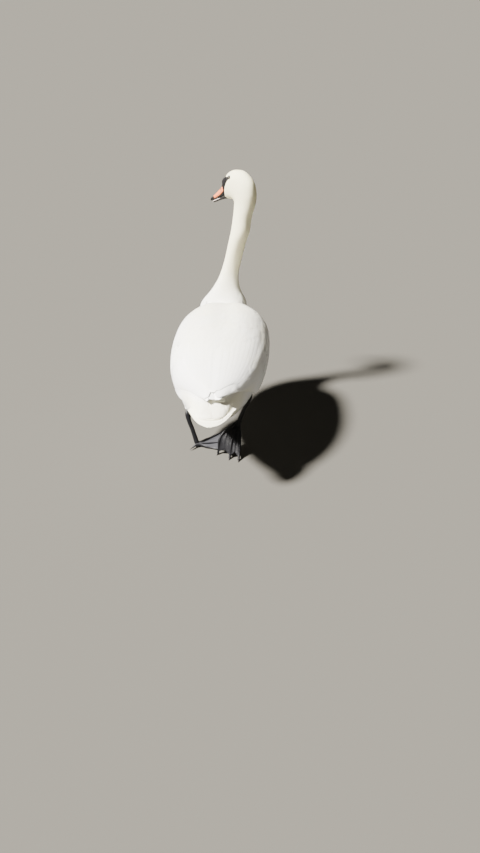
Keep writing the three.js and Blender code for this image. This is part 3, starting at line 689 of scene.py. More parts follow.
# How wide each kind of vane is from root to tip, as rows of place and share of full width.
OUTLINES = {
    "soft": ([0, 0.2, 0.45, 0.7, 0.86, 0.96, 1], [0.2, 0.62, 0.95, 1, 0.82, 0.5, 0.22]),
    "plume": ([0, 0.3, 0.65, 0.88, 1], [0.25, 0.8, 1, 0.75, 0.3]),
    "tiny": ([0, 0.4, 0.8, 1], [0.4, 1, 0.72, 0.15]),
    "fan": ([0, 0.1, 0.4, 0.8, 0.92, 0.98, 1], [0.4, 0.8, 1, 1, 0.94, 0.78, 0.55]),
    "covert": (
        [0, 0.12, 0.35, 0.6, 0.8, 0.91, 0.97, 1],
        [0.3, 0.7, 0.96, 1, 0.94, 0.76, 0.5, 0.22],
    ),
    "flight": (
        [0, 0.06, 0.2, 0.4, 0.6, 0.78, 0.89, 0.95, 0.985, 1],
        [0.35, 0.72, 0.93, 1, 1, 0.93, 0.8, 0.6, 0.36, 0.16],
    ),
}
# Share of the fringe that the tips take. More of it would fold their last faces over.
TIP_SHARE = 0.05
# Vanes longer than this get a ring about every so many millimetres.
LONG_VANE, RING_STEP = 60, 9
# How fast a vane rises from its root and lifts at its tip, and how much thinner edge and tip are.
SINK_POWER, LIFT_POWER, EDGE_THIN, TIP_THIN = 1.4, 5, 0.75, 0.5
# In the unwrap: the margin that roots keep, and half the width and the height of a vane's patch.
UV_EDGE, VANE_UV = 0.004, (0.0015, 0.003)


def vanes(chart, roots, length, width, kind, *, depth, thick, seed, lift=0, camber=0, turn=0,
          tilt=0, columns=5, base=0, under=False, notch=0, fringe=0, to=None):
    """Closed, lens-thin feathers that follow a chart. Along each vane the place runs from its
    root by length, across it by width times the outline, and its height over the chart rises
    from minus depth at the root to base at the tip, less camber towards both edges. With to,
    the middle line runs straight in p and q to that tip instead."""
    rng = np.random.default_rng(seed)
    p0, q0 = (np.asarray(v, float).reshape(-1, 1, 1) for v in roots)
    n = len(p0)
    length, width, depth, lift, turn, tilt, base = (
        np.broadcast_to(np.asarray(v, float).reshape(-1, 1, 1), (n, 1, 1))
        for v in (length, width, depth, lift, turn, tilt, base)
    )
    u, share = (np.array(v, float) for v in OUTLINES[kind])
    if length.max() > LONG_VANE:
        # Closer rings, so that neighbours bend alike over the body.
        closer = np.union1d(u, np.linspace(0, 1, int(length.max() / RING_STEP)))
        u, share = closer, np.interp(closer, u, share)
    u, share = u.reshape(1, -1, 1), share.reshape(1, -1, 1)
    top = np.linspace(-1, 1, columns)
    w = np.concatenate([top, top[-2:0:-1]]).reshape(1, 1, -1)
    face = np.where(np.arange(w.size) < columns, 1, -1).reshape(1, 1, -1)
    both = lambda v: np.concatenate([v, v[..., -2:0:-1]], -1)
    ragged = 1 + notch * both(rng.uniform(-1, 1, (n, u.size, columns))) * np.abs(w)
    split = TIP_SHARE * fringe * both(rng.uniform(-1, 1, (n, 1, columns))) * smooth(0.6, 1, u)
    across = w * width / 2 * share * ragged
    if to is None:
        run = u * length * (1 + split)
        c, s = np.cos(turn), np.sin(turn)
        _, _, sp, sq = chart.read(p0, q0)
        for _ in range(2):
            middle_p = p0 + chart.along * 0.5 * length * c / sp
            middle_q = q0 + 0.5 * length * s / sq
            _, _, sp, sq = chart.read(middle_p, middle_q)
        p = p0 + chart.along * (run * c - across * s) / sp
        q = q0 + (run * s + across * c) / sq
    else:
        p1, q1 = (np.asarray(v, float).reshape(-1, 1, 1) for v in to)
        p = mix(p0, p1, u + split * width / length)
        q_line = mix(q0, q1, u)
        _, _, _, sq = chart.read(p, q_line + 0 * w)
        q = q_line + across / sq
    place, normal, _, _ = chart.read(p, q)
    if under:
        normal = -normal
    height = base - depth * (1 - u) ** SINK_POWER + lift * u**LIFT_POWER
    height = height - camber * width * share * w * w - tilt * w * share
    height = height + face * thick / 2 * (1 - EDGE_THIN * w * w) * (1 - TIP_THIN * u)
    points = place + normal * height[..., None]
    rings, m = u.size, w.size
    t = np.arange(1, columns - 1)
    opposite = m - t
    strip = np.stack([t[:-1], t[1:], opposite[1:], opposite[:-1]], -1)
    ends = np.array([[0, 1, m - 1], [columns - 2, columns - 1, m - columns + 2]])
    last = (rings - 1) * m
    quads = np.vstack([grid_quads(rings, m)[0], strip[:, ::-1], strip + last])
    tris = np.vstack([ends[:, ::-1], ends + last])
    facing = -chart.along * chart.out * (-1 if under else 1)
    if facing < 0:
        quads, tris = quads[:, ::-1], tris[:, ::-1]
    start = (np.arange(n) * rings * m)[:, None, None]
    quads, tris = (quads + start).reshape(-1, 4), (tris + start).reshape(-1, 3)
    size = np.array(chart.count) * chart.step
    root_u = np.clip((q0 - chart.low[1]) / size[1] % 1, UV_EDGE, 1 - UV_EDGE)
    root_v = np.clip((p0 - chart.low[0]) / size[0], UV_EDGE, 1 - UV_EDGE)
    spots = np.broadcast_arrays(root_u + VANE_UV[0] * w, root_v + VANE_UV[1] * (u - 0.5))
    bake = np.stack(spots, -1).reshape(-1, 2)
    shade = np.broadcast_to(rng.uniform(0, 1, (n, 1, 1)), (n, rings, m))
    rim = np.broadcast_to((np.abs(w) == 1) | (u == 1), (n, rings, m))
    shape = Shape(points, [quads, tris], [bake[quads], bake[tris]], shade=shade, rim=rim)
    own = np.stack(np.broadcast_arrays(across, u * length), -1).reshape(-1, 2)
    return shape, own


def growth(table, full=1):
    """A spacing by place: full times the table's value, by straight lines between its rows."""
    return lambda p: full * np.interp(p, *table)


def scattered(chart, keep, spacing, first, rng, kind, *, long, wide, lift, turn, lean=0, more=0,
              **vane):
    """A layer of vanes rooted all over the part of a chart where keep is true. Their spacing is
    a function of the place along it, and first is where their sequence starts. Length and width
    are drawn between two multiples of the spacing, more is added to the length, lift is drawn
    between two values, and the turn strays from lean times the place across. Values given as
    functions are read at the roots."""
    roots = chart.scatter(spacing(chart.p), keep, first)
    size = spacing(roots[0])
    n = len(size)
    read = lambda value: value(*roots) if callable(value) else value
    return vanes(
        chart, roots, size * rng.uniform(*long, n) + read(more), size * rng.uniform(*wide, n),
        kind, lift=rng.uniform(*lift, n), turn=rng.normal(0, turn, n) + lean * roots[1],
        **{key: read(value) for key, value in vane.items()},
    )


def coat_piece(name, layers, material, nodes=()):
    """Joins layers of vanes into one piece of plumage with their own vane map."""
    shape, own = layers[0]
    for more, more_own in layers[1:]:
        shape.join(more)
        own = np.vstack([own, more_own])
    return make_piece(name, shape, material, nodes, extra_uv=own)


# ---------------------------------------------------------------- materials
def feed(tree, socket, source):
    """Links a source into a socket, or sets the socket to a number, or to a colour of three."""
    if isinstance(source, bpy.types.NodeSocket):
        tree.links.new(source, socket)
    elif hasattr(source, "__len__") and socket.type == "RGBA":
        socket.default_value = (*source, 1)
    elif source is not None:
        socket.default_value = source


def node(tree, kind, *sources, **values):
    """A new node with its properties and, by socket name, its inputs set or linked. The sources
    feed its inputs in their order, and None leaves one alone."""
    made = tree.nodes.new(kind)
    for key, value in values.items():
        if hasattr(made, key):
            setattr(made, key, value)
        else:
            feed(tree, made.inputs[key.replace("_", " ")], value)
    for index, source in enumerate(sources):
        feed(tree, made.inputs[index], source)
    return made


def maths(tree, operation, *sources):
    """The result of one operation on the sources."""
    return node(tree, "ShaderNodeMath", *sources, operation=operation).outputs[0]


def ramp(tree, source, *ends, kind="LINEAR"):
    """A source mapped from the first two ends to the last two, or to 0 and 1."""
    return node(tree, "ShaderNodeMapRange", source, *ends, interpolation_type=kind).outputs[0]


def blend(tree, amount, one, other):
    """The colour between one and other by amount."""
    made = node(tree, "ShaderNodeMix", amount, data_type="RGBA")
    feed(tree, made.inputs[6], one)
    feed(tree, made.inputs[7], other)
    return made.outputs[2]


def attribute(tree, name):
    """A point attribute of the mesh as a number."""
    return node(tree, "ShaderNodeAttribute", attribute_name=name).outputs["Fac"]


def object_place(tree):
    """The place in the piece's own frame."""
    return tree.nodes.new("ShaderNodeTexCoord").outputs["Object"]


def group(name, inputs, outputs, wire):
    """A shader node group, made once, with sockets of the given kinds and defaults. wire takes
    its tree and what it is given, and returns the source of each output."""
    tree = bpy.data.node_groups.get(name)
    if tree is None:
        tree = bpy.data.node_groups.new(name, "ShaderNodeTree")
        for way, sockets in (("INPUT", inputs), ("OUTPUT", outputs)):
            for label, (kind, default) in sockets.items():
                socket = tree.interface.new_socket(
                    label, in_out=way, socket_type="NodeSocket" + kind
                )
                if default is not None:
                    socket.default_value = default
        given, result = tree.nodes.new("NodeGroupInput"), tree.nodes.new("NodeGroupOutput")
        sources = wire(tree, *[given.outputs[label] for label in inputs])
        for label, source in zip(outputs, sources):
            tree.links.new(source, result.inputs[label])
    return tree


def place_group(tree, shared, **values):
    """A shared group placed in a material with its own inputs. Returns its outputs."""
    made = tree.nodes.new("ShaderNodeGroup")
    made.node_tree = shared
    for key, value in values.items():
        feed(tree, made.inputs[key], value)
    return made.outputs


# Where the cream starts and ends: staining up the neck by height with noise, and on the low rump
# # and tail partly staining and partly a painted warm reflection from the floor.
STAIN_NOISE, STAIN_BREAK, STAIN_UP = 9.0, 0.16, (0.42, 0.72)
STAIN_AND_REFLECTION_BEHIND, STAIN_AND_REFLECTION_BELOW = (-0.14, -0.26, 0.0, 0.6), (0.375, 0.345)
# How a feather's own shade, from 0 to 1, dims it.
FEATHER_DIM = (0.0, 1.0, 0.96, 1.0)


def plumage_tone():
    """Feather colour: white, stained cream up the neck by a noise-broken ramp of height, tinted
    cream on the low rump and tail by ramps behind and below, partly staining and partly a painted
    warm reflection from the floor, and dimmed a little by each feather's own shade."""

    def wire(tree, place, shade, white, cream):
        xyz = node(tree, "ShaderNodeSeparateXYZ", place).outputs
        noise = node(tree, "ShaderNodeTexNoise", place, Scale=STAIN_NOISE, Detail=3.0)
        height = maths(tree, "MULTIPLY_ADD", noise.outputs["Fac"], STAIN_BREAK, xyz["Z"])
        neck = ramp(tree, height, *STAIN_UP, kind="SMOOTHSTEP")
        # The cream on the low rump and tail is partly staining and partly a painted warm reflection
        # from the floor.
        behind = ramp(tree, xyz["Y"], *STAIN_AND_REFLECTION_BEHIND, kind="SMOOTHSTEP")
        below = ramp(tree, xyz["Z"], *STAIN_AND_REFLECTION_BELOW, kind="SMOOTHSTEP")
        stain_and_reflection = maths(tree, "MAXIMUM", neck, maths(tree, "MULTIPLY", behind, below))
        tint = blend(tree, stain_and_reflection, white, cream)
        dim = ramp(tree, shade, *FEATHER_DIM)
        return [node(tree, "ShaderNodeVectorMath", tint, operation="SCALE", Scale=dim).outputs[0]]

    return group(
        "plumage_tone",
        {"Place": ("Vector", None), "Shade": ("Float", 0.5),
         "White": ("Color", (0.8, 0.8, 0.8, 1)), "Cream": ("Color", (0.8, 0.78, 0.7, 1))},
        {"Color": ("Color", None)}, wire,
    )


def barb_lines():
    """Barbs as a height: a sine across the vane's own map, slanted away from the shaft on both
    sides, plus a raised shaft."""

    def wire(tree, own, pitch):
        xyz = node(tree, "ShaderNodeSeparateXYZ", own).outputs
        side = maths(tree, "ABSOLUTE", xyz["X"])
        turns = maths(tree, "DIVIDE", maths(tree, "SUBTRACT", xyz["Y"], side), pitch)
        wave = maths(tree, "SINE", maths(tree, "MULTIPLY", turns, 2 * math.pi))
        return [maths(tree, "ADD", wave, ramp(tree, side, 0.0, 0.7, 1.5, 0.0))]

    return group(
        "barb_lines", {"Map": ("Vector", None), "Pitch": ("Float", 1.0)},
        {"Height": ("Float", None)}, wire,
    )


def skin_grain():
    """Small scales as a height: distance to the edges of a cell pattern, rounded off, and a
    light and dark mottle that varies slowly."""

    def wire(tree, place, scale):
        cells = node(tree, "ShaderNodeTexVoronoi", place, feature="DISTANCE_TO_EDGE", Scale=scale)
        noise = node(tree, "ShaderNodeTexNoise", place, Scale=60.0, Detail=4.0)
        rounded = ramp(tree, cells.outputs["Distance"], 0.0, 0.25, kind="SMOOTHSTEP")
        return rounded, noise.outputs["Fac"]

    return group(
        "skin_grain", {"Place": ("Vector", None), "Scale": ("Float", 300.0)},
        {"Height": ("Float", None), "Mottle": ("Float", None)}, wire,
    )


def material(name, roughness, wire, bump=None, **sockets):
    """A material with its own Principled shader, made once. wire takes its tree and returns the
    base colour and the height for a bump of the given strength and distance."""
    made = bpy.data.materials.get(name)
    if made is None:
        made = bpy.data.materials.new(name)
        made.use_nodes = True
        tree = made.node_tree
        shader = tree.nodes["Principled BSDF"]
        colour, height = wire(tree)
        values = {"Base_Color": colour, "Roughness": roughness, **sockets}
        for key, value in values.items():
            feed(tree, shader.inputs[key.replace("_", " ")], value)
        if bump:
            raised = node(
                tree, "ShaderNodeBump", Strength=bump[0], Distance=bump[1], Height=height
            )
            tree.links.new(raised.outputs["Normal"], shader.inputs["Normal"])
    return made


def plumage_material(settings):
    """White feathers: tone by place and shade, barbs as a fine bump."""

    def wire(tree):
        tone = place_group(
            tree, plumage_tone(), Place=object_place(tree), Shade=attribute(tree, "shade"),
            White=settings.white, Cream=settings.cream,
        )
        own = node(tree, "ShaderNodeUVMap", uv_map="Vane").outputs["UV"]
        barbs = place_group(tree, barb_lines(), Map=own, Pitch=BARB_PITCH)
        return tone["Color"], barbs["Height"]

    return material(
        "feather_vane", 0.75, wire, bump=(0.35, 0.00012), Specular_IOR_Level=0.3,
        Subsurface_Weight=0.35, Subsurface_Scale=0.004, Subsurface_Radius=(1.0, 0.95, 0.85),
    )


def skin_material(settings):
    """Skin: the plumage's tone where feathered, black and grainy where bare."""

    def wire(tree):
        place = object_place(tree)
        tone = place_group(
            tree, plumage_tone(), Place=place, White=settings.white, Cream=settings.cream
        )
        grain = place_group(tree, skin_grain(), Place=place, Scale=900.0)
        colour = blend(tree, attribute(tree, "bare"), tone["Color"], settings.horn)
        return colour, grain["Height"]

    return material("swan_skin", 0.6, wire, bump=(0.4, 0.0003), Specular_IOR_Level=0.1)


def bill_material(settings):
    """Horn of the bill: orange with fine streaks, black where the dark attribute says."""

    def wire(tree):
        noise = node(
            tree, "ShaderNodeTexNoise", object_place(tree), Scale=140.0, Detail=5.0, Roughness=0.6
        ).outputs["Fac"]
        pale = [min(1, c * 1.35 + 0.03) for c in settings.bill]
        streak = blend(tree, noise, settings.bill, pale)
        return blend(tree, attribute(tree, "dark"), streak, settings.horn), noise

    return material("bill_orange", 0.42, wire, bump=(0.25, 0.0003), Coat_Weight=0.15)


# Horn and scaly skin: cells per metre, roughness, height of the cells in metres, coat, and how
# many times lighter the mottle's other colour is, where it isn't given.
GRAINS = {
    "black_horn": (700.0, 0.38, 0.0002, 0.2, 2),
    "lower_bill": (500.0, 0.45, 0.0002, 0.1, 1.8),
    "tongue_pink": (900.0, 0.35, 0.0002, 0.4, 1.2),
    "black_leg": (420.0, 0.38, 0.0004, 0.15, None),
    "claw_horn": (900.0, 0.35, 0.0001, 0.2, 2),
}
# Pale dust and a painted sheen of light set in between these shares of level and these heights over
# the floor.
DUST_AND_SHEEN_LEVEL, DUST_AND_SHEEN_LOW = (0.72, 0.95), (0.030, 0.012)


def grained_material(name, colour, light=None, dust_and_sheen=None):
    """Horn or scaly skin: a mottle between a colour and a lighter one, and a bump of small cells.
    With a dust colour, level faces close to the floor take it: pale dust, and a painted sheen of
    light on their tops."""
    scale, roughness, distance, coat, lighter = GRAINS[name]
    light = light or [min(1, c * lighter) for c in colour]

    def wire(tree):
        place = object_place(tree)
        grain = place_group(tree, skin_grain(), Place=place, Scale=scale)
        # Level faces near the floor are lightened: pale dust and a painted sheen of light on the
        # webs' tops.
        tint = blend(tree, grain["Mottle"], colour, light)
        if dust_and_sheen is not None:
            facing = tree.nodes.new("ShaderNodeNewGeometry").outputs["Normal"]
            level, low = (
                ramp(tree, node(tree, "ShaderNodeSeparateXYZ", source).outputs["Z"], *ends)
                for source, ends in ((facing, DUST_AND_SHEEN_LEVEL), (place, DUST_AND_SHEEN_LOW))
            )
            tint = blend(tree, maths(tree, "MULTIPLY", level, low), tint, dust_and_sheen)
        return tint, grain["Height"]

    return material(
        name, roughness, wire, bump=(0.5, distance), Coat_Weight=coat, Coat_Roughness=0.3,
        Specular_IOR_Level=0.15,
    )


def eye_material(settings):
    """Wet eye: a dark brown iris round a black pupil, by the iris attribute, under a clear coat."""
    wire = lambda tree: (blend(tree, attribute(tree, "iris"), PUPIL, settings.iris), None)
    return material("wet_eye", 0.25, wire, Coat_Weight=1.0, Coat_Roughness=0.03)


# ---------------------------------------------------------------- settings
def colour_setting(label, text, value):
    """A colour property."""
    return bpy.props.FloatVectorProperty(
        name=label, description=text, default=value, subtype="COLOR", size=3, min=0, max=1
    )


class SwanPlumage(bpy.types.PropertyGroup):
    """Feather sizes and colours."""

    white: colour_setting("White", "Feathers of the body", (0.94, 0.94, 0.925))
    cream: colour_setting("Cream", "Stained feathers of head and upper neck", (0.95, 0.90, 0.62))
    horn: colour_setting("Bare skin", "Black skin between eye and bill", (0.006, 0.0055, 0.006))
    body_spacing: bpy.props.FloatProperty(
        name="Body spacing", description="Distance between body feathers", default=0.0125,
        min=0.008, max=0.03, unit="LENGTH")
    neck_spacing: bpy.props.FloatProperty(
        name="Neck spacing", description="Distance between neck feathers", default=0.0052,
        min=0.003, max=0.01, unit="LENGTH")
    head_spacing: bpy.props.FloatProperty(
        name="Head spacing", description="Distance between head feathers", default=0.0024,
        min=0.002, max=0.006, unit="LENGTH")


class SwanFace(bpy.types.PropertyGroup):
    """Bill, knob and eye colours."""

    bill: colour_setting("Bill", "Orange of the bill", (0.44, 0.105, 0.025))
    horn: colour_setting("Horn", "Black of knob, nail and edges", (0.006, 0.0055, 0.006))
    lower: colour_setting("Lower bill", "Dark olive of the lower bill", (0.010, 0.0095, 0.009))
    tongue: colour_setting("Tongue", "Pink of the tongue", (0.92, 0.76, 0.72))
    iris: colour_setting("Iris", "Dark brown of the iris", (0.018, 0.008, 0.005))


class SwanLegs(bpy.types.PropertyGroup):
    """Leg and claw colours."""

    skin: colour_setting("Leg skin", "Black skin of legs and webs", (0.0026, 0.0026, 0.0032))
    sheen: colour_setting("Leg light", "Greyer patches of the leg skin", (0.0075, 0.0075, 0.009))
    claw: colour_setting("Claw", "Horn of the claws", (0.014, 0.013, 0.013))
    # Pale dust on the level webs, and a painted sheen of light on their tops.
    dust_and_sheen: colour_setting("Dust_and_sheen", "Dried dust on the level webs", (0.042, 0.042, 0.047))


class SwanStage(bpy.types.PropertyGroup):
    """Camera and floor."""

    lens: bpy.props.FloatProperty(
        name="Lens", description="Focal length for a 36 mm sensor", default=29.54, min=10,
        max=200, unit="CAMERA")
    height: bpy.props.FloatProperty(
        name="Camera height", description="Height of the camera over the floor", default=1.42,
        unit="LENGTH")
    distance: bpy.props.FloatProperty(
        name="Camera distance", description="Camera's distance behind the bird's origin",
        default=2.2, unit="LENGTH")
    aside: bpy.props.FloatProperty(
        name="Camera aside", description="Camera's place to the right", default=0.070,
        unit="LENGTH")
    pitch: bpy.props.FloatProperty(
        name="Camera pitch", description="Angle below level", default=math.radians(32),
        unit="ROTATION")
    sun: bpy.props.FloatVectorProperty(
        name="Sun", description="Turn of the key light", size=3, subtype="EULER", unit="ROTATION",
        default=(math.radians(42), 0, math.radians(-61)))
    floor: colour_setting("Floor", "Pale plain floor", (0.074, 0.071, 0.063))


# ---------------------------------------------------------------- pieces
class SWAN_OT_skin(bpy.types.Operator):
    """Makes the skin of body, neck, head, thighs and wings"""

    bl_idname = "swan.skin"
    bl_label = "Skin"

    def execute(self, context):
        settings = context.scene.swan_plumage
        at = np.concatenate([
            column(-CAP_REACH, NECK_FROM, 150),
            column(NECK_FROM, HEAD_FROM, 120)[1:],
            column(HEAD_FROM, FACE_END + CAP_REACH, 150)[1:],
        ])
        points, bare = bird_skin(at, angles(140))
        shape = closed_grid(points, flip=True, box=(0, 0, 0.6, 1), bare=bare)
        k, v = column(0.15, 9.9, 90), row(0.02, 0.985, 40)
        for half, name in enumerate(WING_SET):
            low, high = 0.5 * half + 0.01, 0.5 * half + 0.49
            rings = thigh_surface(leg_points(name), column(0, 1, 40), angles(40), THIGH_COAT)
            shape.join(closed_grid(rings, box=(0.62, low, 0.79, high), bare=0))
            outer = wing_surface(*WING_SET[name], k, v, WING_COAT)
            core = np.maximum(wing_depth(k, v), WING_CORE)
            inner = wing_surface(*WING_SET[name], k, v, core)
            rings = np.concatenate([outer, inner[:, ::-1]], 1)
            box = (0.81, low, 0.99, high)
            shape.join(closed_grid(rings, flip=name == "left", box=box, bare=0))
        for side in (-1, 1):
            shape.join(eyelid(side))
        nodes = ["trunk", "neck_lower", "neck_middle", "neck_upper", "head"]
        make_piece("skin", shape, skin_material(settings), nodes)
        return {"FINISHED"}


def eye_frame(side):
    """The eye's centre and its axes in the head's frame: outward, forward, up."""
    out = unit(np.array([0.20, side * 1.0, 0.10]))
    forward = unit(np.array([1.0, 0, 0]) - out * out[0])
    up = np.cross(out, forward) * -side
    centre = np.array([EYE_AT[0], side * EYE_AT[1], EYE_AT[2]], float)
    return centre, out, forward, up


def eyelid(side):
    """A lid ring: for each angle round the opening, a profile that starts inside on the eyeball,
    rolls over a rounded rim and runs out under the feathers."""
    centre, out, forward, up = eye_frame(side)
    a = angles(56)
    spread, rise = LID_PROFILE[:, :1], LID_PROFILE[:, 1:]
    across, high = LID_HALF[0] * spread * np.cos(a), LID_HALF[1] * spread * np.sin(a)
    across = across + 0.9 * np.maximum(np.cos(a), 0) ** 4 * (spread - 0.7)
    flat = np.minimum(np.hypot(across, high), EYE_RADIUS * 0.97)
    drop = np.sqrt(EYE_RADIUS**2 - np.minimum(flat, EYE_RADIUS * 0.93) ** 2)
    local = (
        centre + out * (drop + rise)[..., None] + forward * across[..., None]
        + up * high[..., None]
    )
    n, m = a.size, len(LID_PROFILE)
    faces, ring_at, place_at = grid_quads(n, m, closed=True)
    if side < 0:
        faces = faces[:, ::-1]
    uv = np.stack([0.6 + 0.02 * ring_at / n, 0.5 + side * 0.2 + 0.1 * place_at / m], -1)
    rings = np.swapaxes(head_point(*np.moveaxis(local, -1, 0)), 0, 1)
    return Shape(rings, [faces], [uv], bare=np.ones(n * m))


def bird_chart():
    """The body's outer surface from rump to face, feathers lying towards the rump."""
    place = lambda at, a: posed(*np.moveaxis(bird_straight(at, a), -1, 0))
    return Chart(place, (-0.9, FACE_END), (0, 2 * math.pi), (900, 400), wrap=True, along=-1)


class SWAN_OT_body_coat(bpy.types.Operator):
    """Lays the contour feathers of breast, belly, flanks, back and rump"""

    bl_idname = "swan.body_coat"
    bl_label = "Body feathers"

    def execute(self, context):
        settings = context.scene.swan_plumage
        chart = bird_chart()
        shown = chart.p < NECK_FROM + 0.3
        shown &= ~under_wing(bird_straight(chart.p, chart.q))
        rise = lambda at, a: wing_bend(bird_straight(at, a))
        rng = np.random.default_rng(11)
        for name, part in (("coat_back", chart.q < math.pi), ("coat_belly", chart.q >= math.pi)):
            layers = [scattered(
                chart, shown & part, growth(BODY_GROWTH, settings.body_spacing / MM), 17, rng,
                "soft", long=(2.75, 2.9), wide=(1.8, 2.1), lift=(-0.15, 0.1), turn=0.05,
                more=rise, base=rise,
                depth=lambda at, a: coat_depth(at) * BODY_SINK + rise(at, a),
                fringe=0.08, camber=0.012, thick=0.3, notch=0.04, seed=12,
            )]
            if name == "coat_back":
                layers.append(rump_skirt(chart))
            coat_piece(name, layers, plumage_material(settings))
        return {"FINISHED"}


def rump_skirt(chart):
    """Feathers that slope from the left wing's rear edge down to the rump: rooted on the body
    nearest to places along that edge, as high as the edge there, and ending low."""
    along = np.linspace(*SKIRT_SPAN, SKIRT_COUNT)
    edge = wing_surface(*WING_SET["left"], along, 0.03)
    flat = chart.table[..., :3].reshape(-1, 3)
    near = np.array([np.argmin(((flat - at) ** 2).sum(1)) for at in edge])
    gap = np.linalg.norm(flat[near] - edge, axis=1) * smooth(*SKIRT_FADE, along)
    roots = (chart.p.ravel()[near] + 0.04, chart.q.ravel()[near])
    rng = np.random.default_rng(13)
    return vanes(
        chart, roots, rng.uniform(60, 72, SKIRT_COUNT), 26, "soft", depth=0.5 - gap, base=0.6,
        thick=0.2, camber=0.004, columns=7, seed=14, notch=0.04, fringe=0.06,
    )


class SWAN_OT_neck_coat(bpy.types.Operator):
    """Lays the small feathers of the neck"""

    bl_idname = "swan.neck_coat"
    bl_label = "Neck feathers"

    def execute(self, context):
        settings = context.scene.swan_plumage
        chart = bird_chart()
        shown = (chart.p > NECK_FROM) & (chart.p < HEAD_FROM + 0.4)
        layer = scattered(
            chart, shown, growth(NECK_GROWTH, settings.neck_spacing / MM), 5,
            np.random.default_rng(21), "plume", long=(2.9, 3.1), wide=(1.6, 2.0),
            lift=(-0.1, 0.08), turn=0.1, depth=lambda at, a: coat_depth(at) * BODY_SINK,
            camber=0.015, thick=0.22, columns=4, seed=22, notch=0.06, fringe=0.1,
        )
        coat_piece("coat_neck", [layer], plumage_material(settings))
        return {"FINISHED"}


class SWAN_OT_head_coat(bpy.types.Operator):
    """Lays the tiny feathers of the head, leaving eye rims and lores bare"""

    bl_idname = "swan.head_coat"
    bl_label = "Head feathers"

    def execute(self, context):
        settings = context.scene.swan_plumage
        chart = bird_chart()
        shown = (chart.p > HEAD_FROM) & (bare_skin(bird_straight(chart.p, chart.q)) < 0.5)
        layer = scattered(
            chart, shown, growth(HEAD_GROWTH, settings.head_spacing / MM), 3,
            np.random.default_rng(31), "tiny", long=(3.5, 3.8), wide=(1.3, 1.6),
            lift=(-0.1, 0.05), turn=0.12, depth=lambda at, a: coat_depth(at) * HEAD_SINK,
            camber=0.01, thick=0.16, columns=3, seed=32, notch=0.08, fringe=0.1,
        )
        coat_piece("coat_head", [layer], plumage_material(settings))
        return {"FINISHED"}


def wing_chart(name):
    """A wing's outer face, feathers lying towards its tip."""
    place = lambda k, v: wing_surface(*WING_SET[name], k, v)
    return Chart(place, (0, 10), (-0.05, 1.0), (500, 240), out=-WING_SET[name][0])


def flight_layers(chart, rng, press):
    """The tip of the wing, and one fan of secondaries and tertials, each over the next lower."""
    j = np.arange(6) / 5
    tip = vanes(
        chart, (7.0 + 0 * j, 0.75 - 0.5 * j), 150, 24, "flight", depth=2,
        to=(10 - 0.3 * j, 0.75 - 0.55 * j), base=-4.4 + 0.6 * j, tilt=-0.4, columns=7,
        thick=0.3, seed=44,
    )
    count = 19
    j = np.arange(count) / (count - 1)
    reach = np.interp(j, [0, 0.2, 0.5, 0.7, 1], [6.5, 7.5, 8.9, 9.5, 9.6])
    fan = vanes(
        chart, (3.2 + 1.6 * j, 0.76 * j), 200, 42 + 6 * j, "flight",
        to=(reach + rng.uniform(-0.1, 0.1, count), 0.01 + 0.75 * j**1.6), depth=1.6,
        base=-2.0 + 1.3 * j, lift=-press * (1 - j) ** 3, tilt=0.6, columns=9, notch=0.02,
        fringe=0.05, thick=0.25, seed=45,
    )
    return [tip, fan]


def covert_row(chart, rng, rough, step, start, end, wide, count):
    """One of two rows of coverts, step 0 or 1, rooted from one arc number and ending at the
    other, each feather over the next lower."""
    j = (np.arange(count) + 0.5 * step) / count
    return vanes(
        chart, (start + 0.5 * j, 0.9 * j), 100 - 25 * step, wide, "covert",
        to=(end + 0.7 * j + rng.uniform(-0.25, 0.25, count), 0.9 * j), depth=1.2,
        base=-0.9 + 0.5 * step + 0.8 * j, lift=rough * rng.uniform(0, 0.1, count), tilt=0.35,
        columns=7, notch=0.03, fringe=0.08, thick=0.2, seed=47 + step,
    )


def loose_layer(chart, rng):
    """Loose feathers along the bird's shaded side, their tips lifted by the wind."""
    count = 30
    j = (np.arange(count) + rng.uniform(-0.3, 0.3, count)) / count
    end = 2.9 + 6.0 * j
    edge = np.interp(end, LOOSE_AT, LOOSE_EDGE) + rng.uniform(-0.03, 0.03, count)
    return vanes(
        chart, (end - 1.5 + 0.5 * j, edge + rng.uniform(0.05, 0.12, count)), 75,
        rng.uniform(15, 24, count), "covert", to=(end, edge), depth=1.5, base=1.6 - 1.2 * j,
        lift=rng.uniform(1, 4.2, count), tilt=0.3, notch=0.04, fringe=0.1, thick=0.2, seed=49,
    )


class SWAN_OT_wings(bpy.types.Operator):
    """Lays each wing's coverts, shoulder feathers, secondaries, tertials and wing tip"""

    bl_idname = "swan.wings"
    bl_label = "Wing feathers"

    def execute(self, context):
        plumage = plumage_material(context.scene.swan_plumage)
        for name, (seed, rough, press) in WING_LAY.items():
            chart = wing_chart(name)
            rng = np.random.default_rng(seed)
            layers = flight_layers(chart, rng, press)
            # Greater and median coverts.
            layers.append(covert_row(chart, rng, rough, 0, 3.1, 5.0, 28, 30))
            layers.append(covert_row(chart, rng, rough, 1, 2.4, 3.9, 24, 34))
            if name == "right":
                layers.append(loose_layer(chart, rng))
            layers.append(scattered(
                chart, (chart.p < 2.9) & (chart.q < 0.9), growth(WING_GROWTH), 9, rng, "soft",
                long=(2.65, 2.8), wide=(1.8, 2.0), lift=(-0.06 * rough, 0.05 * rough),
                turn=0.05, depth=1.7, base=0.4, notch=0.05, fringe=0.06, thick=0.18,
                camber=0.009, seed=51,
            ))
            coat_piece("wing_coat_" + name, layers, plumage, ["wing_" + name])
        return {"FINISHED"}


